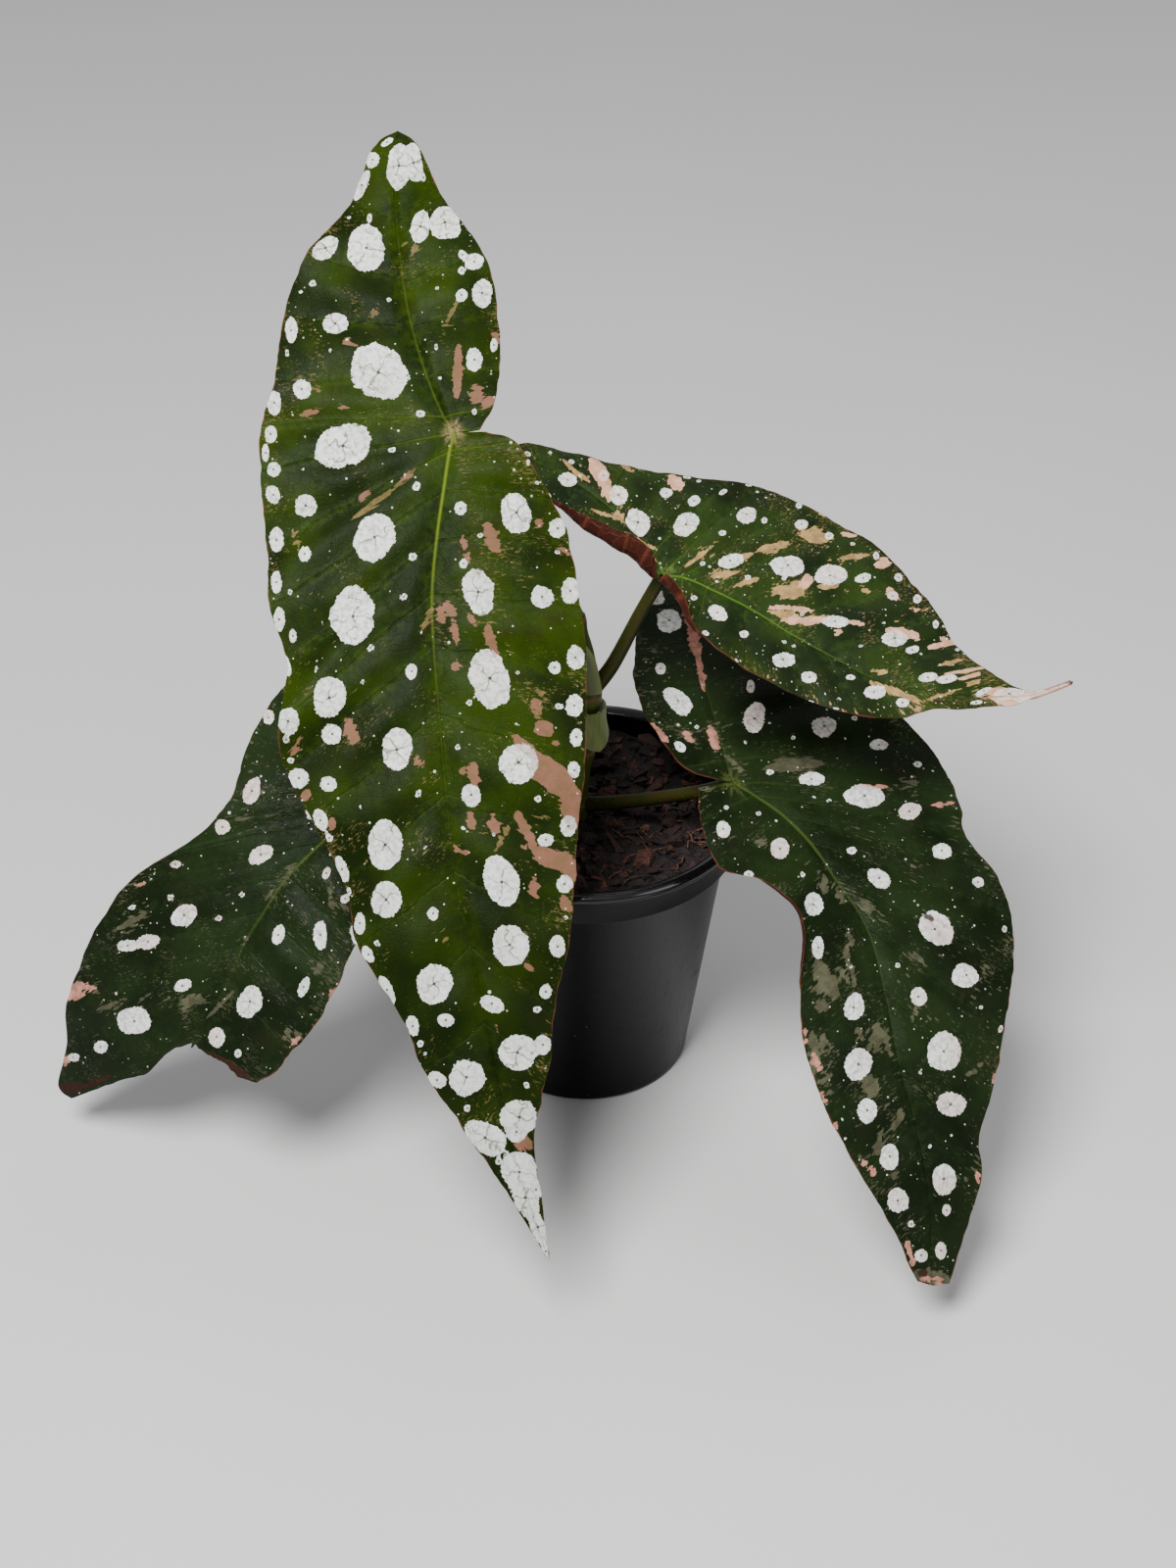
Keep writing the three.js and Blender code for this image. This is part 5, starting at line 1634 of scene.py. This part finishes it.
for name, sheet in sheets.items():
    spots = [spot_on_blade(sheet, *spot) for spot in SPOTS[name]]
    if name in HIDDEN_BEYOND:
        spots += hidden_spots(sheet, HIDDEN_BEYOND[name], spots)
    sheet["spot"], sheet["spot_place"] = spot_reach(sheet["points"][:, :2], spots)
    for kind in ("pink", "cream", "dry"):
        strokes = [stroke_on_blade(sheet, *stroke) for stroke in STROKES[name, kind]]
        sheet[kind], _ = spot_reach(sheet["points"][:, :2], strokes)
    for kind, first_row in zip(("pink", "spot", "dry"), LEAVES[name].get("pale_tip", ())):
        sheet[kind] = np.maximum(sheet[kind], PALE_TIP_GROWTH * (sheet["row"] - first_row))
    largest = max(mean_radius(form) for _, form in spots)
    print(f"blade {name}: {len(spots)} spots, the largest {2 * largest:.1f} mm across")

# %% [markdown]
# ## The blades: the upper finish
#
# The upper face is built up like a print, one colour over another:
#
# 1. two greens, clouded into each other, with a bronze tint, paler beside the veins, deeper on
#    them, partly their own tone and partly painted shade in the sunken veins, and darker far from
#    the stalk, which is painted shade;
# 2. a pale star and pale ribs where the stalk joins;
# 3. cream flecks and dust, which are stretched along the veins, and cream and salmon patches;
# 4. specks, then the silver-white spots, with pores, a pit in the middle and cracks round it;
# 5. a thin red line at the margin, and brown where a tip has dried.
#
# Each layer has a cell of its own below, and takes the colour of the layers under it as its ground.

# %% Leaf greens
STAR_RAYS = 2.6           # the higher, the more rays the star has


def leaf_greens(tree, place, veins, away, deep, fresh, bronze):
    """The greens of a blade, and the clouds that mix them."""
    clouds = noise_at(tree, place, 0.05, detail=4.0)
    green = blend_colours(tree, ramp(tree, clouds, 0.36, 0.66), deep, fresh)
    tint = noise_at(tree, place, 0.11, detail=5.0, roughness=0.65)
    green = over(tree, ramp(tree, tint, 0.50, 0.75), 0.5, bronze, green)
    haze = veins_on_blade(tree, place, 5.0, 2.6)
    soft = ramp(tree, noise_at(tree, place, 0.5, detail=4.0), 0.42, 0.62)
    beside = maths(tree, "MAXIMUM", haze["Side Veins"], haze["Midrib"])
    green = over(tree, times(tree, beside, soft), 0.35, [1.6 * c for c in fresh], green)
    # Painted shade: the greens darken far from the stalk, as if less light reached the far end of
    # the blade.
    green = over(tree, ramp(tree, away, 50.0, 170.0), 0.6, [0.7 * c for c in deep], green)
    # Darker on the net and the side veins: partly their own tone, partly painted shade in the
    # sunken veins.
    for name in ("Net", "Side Veins"):
        green = over(tree, veins[name], 0.10, [0.5 * c for c in deep], green)
    return green, clouds


def joint_star(tree, place, x, y, away, colour, reach, ground):
    """The pale star where the stalk meets the blade, with rays that run out along the veins."""
    turn = maths(tree, "ARCTAN2", y, x)
    ray_place = add_node(tree, "CombineXYZ", {
        "X": times(tree, maths(tree, "COSINE", turn), STAR_RAYS),
        "Y": times(tree, maths(tree, "SINE", turn), STAR_RAYS),
        "Z": times(tree, away, 0.07),
    }).outputs[0]
    rays = ramp(tree, noise_at(tree, ray_place, 1.5, detail=2.0), 0.36, 0.78)
    length = times_plus(tree, rays, reach, 1.2)
    star = ramp(tree, minus(tree, length, away), -2.0, 1.2)
    star = times(tree, star, ramp(tree, away, 1.7 * reach, 0.6))
    grain = ramp(tree, noise_at(tree, place, 1.3, detail=4.0), 0.25, 0.6)
    return over(tree, times(tree, star, grain), 0.8, colour, ground)


def pale_ribs(tree, veins, y, away, colour, ground):
    """The midrib is palest by the stalk, and most of all towards the tip from there."""
    tipward = times_plus(tree, ramp(tree, y, 4.0, -4.0), 0.8, 0.2)
    near_joint = times(tree, ramp(tree, away, 75.0, 8.0), tipward)
    ground = over(tree, times(tree, veins["Midrib"], near_joint), 0.9, colour, ground)
    rays = times(tree, veins["Side Veins"], ramp(tree, away, 22.0, 3.0))
    return over(tree, rays, 0.22, colour, ground)


print("greens, star and ribs are ready")

# %% [markdown]
# Where the leaf has lost its green it is cream or salmon. The flecks are threads of stretched
# noise that is cut off at a level: the lower the level, the more of them. They gather round the
# cream patches and near the margin, so both push the noise up a little there.

# %% Flecks, patches and specks
def cream_flecks(tree, place, flow, near_edge, level, dust, colour, ground):
    """Threads of cream, and a finer powder between them."""
    near_cream = ramp(tree, reading(tree, "cream"), -5.0, 0.0)
    threads = noise_at(tree, flow, 1.15, detail=5.0, roughness=0.62)
    clusters = times_plus(tree, noise_at(tree, place, 0.07, detail=2.0), 0.40, -0.20)
    pushed = plus(tree, times(tree, near_cream, 0.075), times(tree, near_edge, 0.035))
    threads = plus(tree, threads, plus(tree, clusters, pushed))
    ground = over(tree, ramp(tree, threads, level, level + 0.04), 0.7, colour, ground)
    powder = noise_at(tree, flow, 2.7, detail=3.0, roughness=0.7)
    drifts = ramp(tree, noise_at(tree, place, 0.085, detail=3.0), 0.46, 0.66)
    pushed = times_plus(tree, near_edge, 0.05, times(tree, near_cream, 0.04))
    powder = plus(tree, powder, plus(tree, times(tree, drifts, 0.13), pushed))
    return over(tree, ramp(tree, powder, 0.69, 0.75), dust, colour, ground)


def patches(tree, place, flow, cream, pink, ground):
    """The cream and the salmon patches with their torn edges, and where the salmon ones are."""
    tones = ramp(tree, noise_at(tree, place, 0.35, detail=5.0, roughness=0.65), 0.38, 0.62)
    dull_cream = blend_colours(tree, tones, [0.62 * c for c in cream], cream)
    dull_pink = blend_colours(tree, tones, [0.45 * a + 0.4 * b for a, b in zip(pink, cream)], pink)
    cream_mask = torn_mask(tree, reading(tree, "cream"), flow, raggedness=2.4, lump_size=0.85,
                           softness=0.12)
    pink_mask = torn_mask(tree, reading(tree, "pink"), flow, raggedness=2.2, lump_size=1.0,
                          softness=0.1)
    ground = over(tree, cream_mask, 0.9, dull_cream, ground)
    return over(tree, pink_mask, 0.95, dull_pink, ground), pink_mask


def white_specks(tree, place, near_edge, share, ground):
    fine = dots_mask(tree, place, spacing=3.4, largest=0.46, share=share)
    finer = dots_mask(tree, place, spacing=1.5, largest=0.24,
                      share=times_plus(tree, near_edge, 0.25, share))
    return over(tree, maths(tree, "MAXIMUM", fine, finer), 0.85, (0.62, 0.64, 0.52), ground)


print("flecks, patches and specks are ready")

# %% [markdown]
# The spots are air under the skin. They are nearly as smooth as the green round them, so they
# change the colour a lot and the roughness hardly. A large one has a scalloped outline, since it
# grew from many small cells, a dark pit in its middle and fine cracks that run out from there.

# %% Silver spots
SPOT_WHITE = (0.80, 0.81, 0.77)
SPOT_SHADE = (0.47, 0.49, 0.45)
SPOT_CRACK = (0.13, 0.15, 0.09)
PIT_COLOUR = (0.03, 0.04, 0.02)
SPOT_INSET = 0.12         # mm by which a spot is smaller than it was read from the picture
CRACKS = 4.0              # round a spot's middle


def spot_mask(tree, place, size):
    """White inside a spot. The larger it is, the more its outline bulges and is scalloped."""
    reach = minus(tree, reading(tree, "spot"), SPOT_INSET)
    bulge = times(tree, minus(tree, noise_at(tree, place, 0.2), 0.5), times(tree, size, 0.6))
    scallops = maths(tree, "MINIMUM", times(tree, size, 0.2), 0.55)
    return torn_mask(tree, plus(tree, reach, bulge), place, raggedness=scallops, lump_size=0.62,
                     softness=0.06)


def spot_white(tree, place, from_joint, pink_mask, pink, blush):
    """Cloudy white, rosy in places and on a salmon patch, and greyed far from the stalk,
    which is painted shade.
    """
    cloudy = ramp(tree, noise_at(tree, place, 0.9, detail=6.0), 0.3, 0.62)
    white = blend_colours(tree, cloudy, SPOT_SHADE, SPOT_WHITE)
    white = over(tree, pink_mask, 0.45, pink, white)
    rosy = ramp(tree, noise_at(tree, place, 0.055, detail=1.0), 0.42, 0.66)
    white = over(tree, rosy, blush, pink, white)
    # Painted shade: the white greys towards SPOT_SHADE far from the stalk, as if less light reached
    # there.
    white = over(tree, ramp(tree, from_joint, 60.0, 190.0), 0.5, SPOT_SHADE, white)
    pores = dots_mask(tree, place, spacing=1.1, largest=0.17, share=0.4)
    return over(tree, pores, 0.5, SPOT_CRACK, white)


def spot_marks(tree, place, x, y, size):
    """The cracks that run out from the middle of a large spot, and the pit where they meet."""
    away = maths(tree, "SQRT", plus(tree, times(tree, x, x), times(tree, y, y)))
    turn = maths(tree, "DIVIDE", maths(tree, "ARCTAN2", y, x), 2 * math.pi)
    bend = times(tree, noise_at(tree, place, 0.28, detail=2.5), 0.5)
    turns = times(tree, plus(tree, turn, plus(tree, bend, size)), CRACKS)
    off_ray = times(tree, maths(tree, "PINGPONG", turns, 0.5),
                    times(tree, away, 2 * math.pi / CRACKS))
    broken = ramp(tree, noise_at(tree, place, 0.33), 0.37, 0.47)
    rays = times(tree, ramp(tree, off_ray, 0.34, 0.10), broken)
    cracks = times(tree, rays, ramp(tree, size, 2.3, 3.4))
    pit_size = times_plus(tree, size, 0.03, 0.24)
    pit = ramp(tree, minus(tree, pit_size, away), -0.06, 0.06)
    return cracks, times(tree, pit, ramp(tree, size, 0.6, 0.8))


def silver_spots(tree, place, from_joint, pink_mask, pink, blush, crack, ground):
    """Lays the spots over the ground. Also hands back where they and their cracks are."""
    x, y, size = (parts_of(tree, reading(tree, "spot_place", "Vector"))[k] for k in "XYZ")
    mask = spot_mask(tree, place, size)
    cracks, pit = spot_marks(tree, place, x, y, size)
    white = spot_white(tree, place, from_joint, pink_mask, pink, blush)
    white = over(tree, cracks, crack, SPOT_CRACK, white)
    ground = blend_colours(tree, mask, ground, white)
    return over(tree, times(tree, pit, mask), 0.9, PIT_COLOUR, ground), mask, cracks


print("spots are ready")

# %% [markdown]
# The margin is red, but only where no salmon patch or spot runs out to it. The relief is very
# fine: the skin is grained, and the net, the veins and the cracks lie a little lower.

# %% Upper finish
MARGIN_RED = (0.11, 0.035, 0.02)
DRY_BROWN = (0.048, 0.022, 0.015)
LEAF_GLOSS = 0.05         # the leaf is satin, and throws back little of the room


def red_margin(tree, place, edge_mm, marked, ground):
    thin = ramp(tree, noise_at(tree, place, 0.16), 0.42, 0.66)
    rim = ramp(tree, minus(tree, times(tree, thin, 0.34), edge_mm), -0.12, 0.12)
    return over(tree, times(tree, rim, minus(tree, 1.0, marked)), 0.75, MARGIN_RED, ground)


def dried(tree, place, ground):
    mask = torn_mask(tree, reading(tree, "dry"), place, raggedness=0.9, lump_size=1.5,
                     softness=0.35)
    brown = blend_colours(tree, noise_at(tree, place, 0.9, detail=4.0), DRY_BROWN,
                          [0.3 * c for c in DRY_BROWN])
    return over(tree, mask, 0.92, brown, ground), mask


def upper_relief(tree, place, veins, cracks):
    skin = times(tree, noise_at(tree, place, 2.2, detail=3.0), 0.35)
    ribs = times_plus(tree, veins["Side Veins"], 0.7, times(tree, veins["Midrib"], 0.6))
    sunk = plus(tree, times(tree, veins["Net"], 0.16), ribs)
    return minus(tree, minus(tree, skin, sunk), times(tree, cracks, 0.3))


def upper_finish(name, deep, fresh, bronze, rib_colour, rib_width, star, star_reach, cream, pink,
                 flecks, dust, specks, crack, blush):
    finish, tree, shader = new_finish(name)
    place, flow = reading(tree, "place", "Vector"), reading(tree, "flow", "Vector")
    leaf_xy = reading(tree, "leaf_xy", "Vector")
    x, y = (parts_of(tree, leaf_xy)[k] for k in "XY")
    away = add_node(tree, "VectorMath", {0: leaf_xy}, operation="LENGTH").outputs["Value"]
    edge_mm = reading(tree, "edge_mm")
    near_edge = ramp(tree, edge_mm, 7.0, 0.5)
    veins = veins_on_blade(tree, place, rib_width, 0.5)

    colour, clouds = leaf_greens(tree, place, veins, away, deep, fresh, bronze)
    colour = joint_star(tree, place, x, y, away, star, star_reach, colour)
    colour = pale_ribs(tree, veins, y, away, rib_colour, colour)
    colour = cream_flecks(tree, place, flow, near_edge, flecks, dust, cream, colour)
    colour, patched = patches(tree, place, flow, cream, pink, colour)
    colour = white_specks(tree, place, near_edge, specks, colour)
    colour, spotted, cracks = silver_spots(tree, place, away, patched, pink, blush, crack, colour)
    marked = maths(tree, "MAXIMUM", patched, spotted)
    colour = red_margin(tree, place, edge_mm, marked, colour)
    colour, dry = dried(tree, place, colour)

    roughness = plus(tree, times_plus(tree, spotted, 0.06, 0.40),
                     times_plus(tree, clouds, 0.12, times(tree, dry, 0.3)))
    coat_with(tree, shader, colour, roughness,
              bumped(tree, upper_relief(tree, place, veins, cracks), 0.45, 0.0004),
              {"Specular IOR Level": LEAF_GLOSS})
    return finish


BLADE_FINISHES = {
    "front": upper_finish(
        "Front blade, upper", deep=(0.006, 0.013, 0.0010), fresh=(0.020, 0.039, 0.0016),
        bronze=(0.018, 0.015, 0.0015), rib_colour=(0.12, 0.17, 0.015), rib_width=0.75,
        star=(0.30, 0.22, 0.11), star_reach=3.0, cream=(0.17, 0.125, 0.045),
        pink=(0.22, 0.10, 0.066), flecks=0.69, dust=0.5, specks=0.12, crack=0.8, blush=0.16),
    "right": upper_finish(
        "Right blade, upper", deep=(0.008, 0.015, 0.005), fresh=(0.021, 0.041, 0.007),
        bronze=(0.020, 0.022, 0.004), rib_colour=(0.08, 0.17, 0.015), rib_width=0.55,
        star=(0.09, 0.14, 0.032), star_reach=6.5, cream=(0.46, 0.29, 0.12),
        pink=(0.74, 0.40, 0.29), flecks=0.705, dust=0.22, specks=0.34, crack=0.5, blush=0.22),
    "lower": upper_finish(
        "Lower blades, upper", deep=(0.005, 0.010, 0.0028), fresh=(0.011, 0.022, 0.0055),
        bronze=(0.014, 0.014, 0.005), rib_colour=(0.05, 0.08, 0.012), rib_width=0.7,
        star=(0.075, 0.09, 0.024), star_reach=4.5, cream=(0.088, 0.086, 0.05),
        pink=(0.50, 0.22, 0.165), flecks=0.655, dust=0.5, specks=0.20, crack=0.4, blush=0.34),
}
print("upper finishes:", ", ".join(BLADE_FINISHES))

# %% [markdown]
# ## The blades: the underside
#
# The underside of this begonia is wine red and duller than the upper face, and deeper in colour
# along its margin. The ribs that stand out of it are paler, and a pale net of small veins shows
# all over. Spots and salmon patches show through faintly.

# %% Underside finish
under_finish, tree, shader = new_finish("Blade underside")
place = reading(tree, "place", "Vector")
skin = effect(tree, plant_skin, Place=place, Cloud_Size=14.0, Pore_Size=0.7)
veins = veins_on_blade(tree, place, 1.6, 0.8)
pale = torn_mask(tree, reading(tree, "spot"), place, raggedness=0.5, lump_size=1.0, softness=0.6)
red = blend_colours(tree, ramp(tree, skin["Clouds"], 0.3, 0.7), (0.033, 0.006, 0.003),
                    (0.080, 0.015, 0.006))
LAYERS = [                # a mask, its strength and its colour, from the lowest upwards
    (ramp(tree, reading(tree, "edge_mm"), 6.0, 2.0), 0.8, (0.028, 0.007, 0.004)),
    (veins["Net"], 0.35, (0.10, 0.024, 0.012)),
    (veins["Side Veins"], 0.5, (0.14, 0.038, 0.02)),
    (veins["Midrib"], 0.75, (0.26, 0.16, 0.07)),
    (pale, 0.2, (0.26, 0.09, 0.07)),
    (ramp(tree, reading(tree, "pink"), -0.3, 0.6), 0.7, (0.60, 0.31, 0.25)),
]
for mask, strength, colour in LAYERS:
    red = over(tree, mask, strength, colour, red)
relief = plus(tree, times(tree, veins["Net"], 0.6),
              plus(tree, veins["Side Veins"], times(tree, skin["Relief"], 0.4)))
coat_with(tree, shader, red, times_plus(tree, skin["Clouds"], 0.2, 0.36),
          bumped(tree, relief, 0.5, 0.0005), {"Specular IOR Level": 2 * LEAF_GLOSS})
print("finish:", under_finish.name)

# %% [markdown]
# ## The blades: put together
#
# The upper face and the underside share one closed mesh with a thin rim between them. Each keeps
# its own material, so the red never bleeds through to the green.

# %% Blades
PATTERN_STEP = 300.0      # mm between two blades in the space of the patterns
FLOW_SQUEEZE = 3.6        # how much longer a fleck is along a vein than across it


def sheet_normals(points, faces):
    """Which way a sheet faces at each of its points. A leaf's upper face looks along +z."""
    mesh = bpy.data.meshes.new("sheet")
    mesh.from_pydata(points.tolist(), [], faces)
    found = np.zeros(3 * len(points), np.float32)
    mesh.vertices.foreach_get("normal", found)
    bpy.data.meshes.remove(mesh)
    found = found.reshape(-1, 3)
    return found * np.sign(np.median(found[:, 2]))


def make_blade(name, number):
    leaf, sheet = LEAVES[name], sheets[name]
    top, count = sheet["points"] + sheet["rolled"], len(sheet["points"])
    faces = list(sheet["faces"])
    deep = thickness(leaf, sheet["row"], sheet["across"])
    bottom = top - deep[:, None] * sheet_normals(top, faces)
    edges = {(a, b) for face in faces for a, b in zip(face, face[1:] + face[:1])}
    rim = [[a, a + count, b + count, b] for a, b in edges if (b, a) not in edges]
    under = [[count + k for k in face[::-1]] for face in faces]
    shift = np.array([PATTERN_STEP * number, 0, 0])
    flow = np.column_stack([
        sheet["row"] * sheet["spacing"].mean(),
        np.linalg.norm(top[:, :2] - [0, 40], axis=1) / FLOW_SQUEEZE,
        sheet["rib_mm"] / FLOW_SQUEEZE + shift[0]])
    stored = {key: sheet[key] for key in
              ("row", "spacing", "rib_mm", "edge_mm", "spot", "spot_place", "pink", "cream", "dry")}
    stored.update(place=top + shift, flow=flow, leaf_xy=top * [1, 1, 0])
    doubled = {key: np.concatenate([values, values]) for key, values in stored.items()}
    finish = BLADE_FINISHES.get(name, BLADE_FINISHES["lower"])
    blade = make_piece(f"Blade_{name}", onto_plant(leaf, np.vstack([top, bottom])),
                       faces + sorted(rim) + under, [finish, under_finish],
                       doubled, sharp=60)
    for polygon in blade.data.polygons:
        if min(polygon.vertices) >= count:
            polygon.material_index = 1


for number, name in enumerate(LEAVES):
    make_blade(name, number)
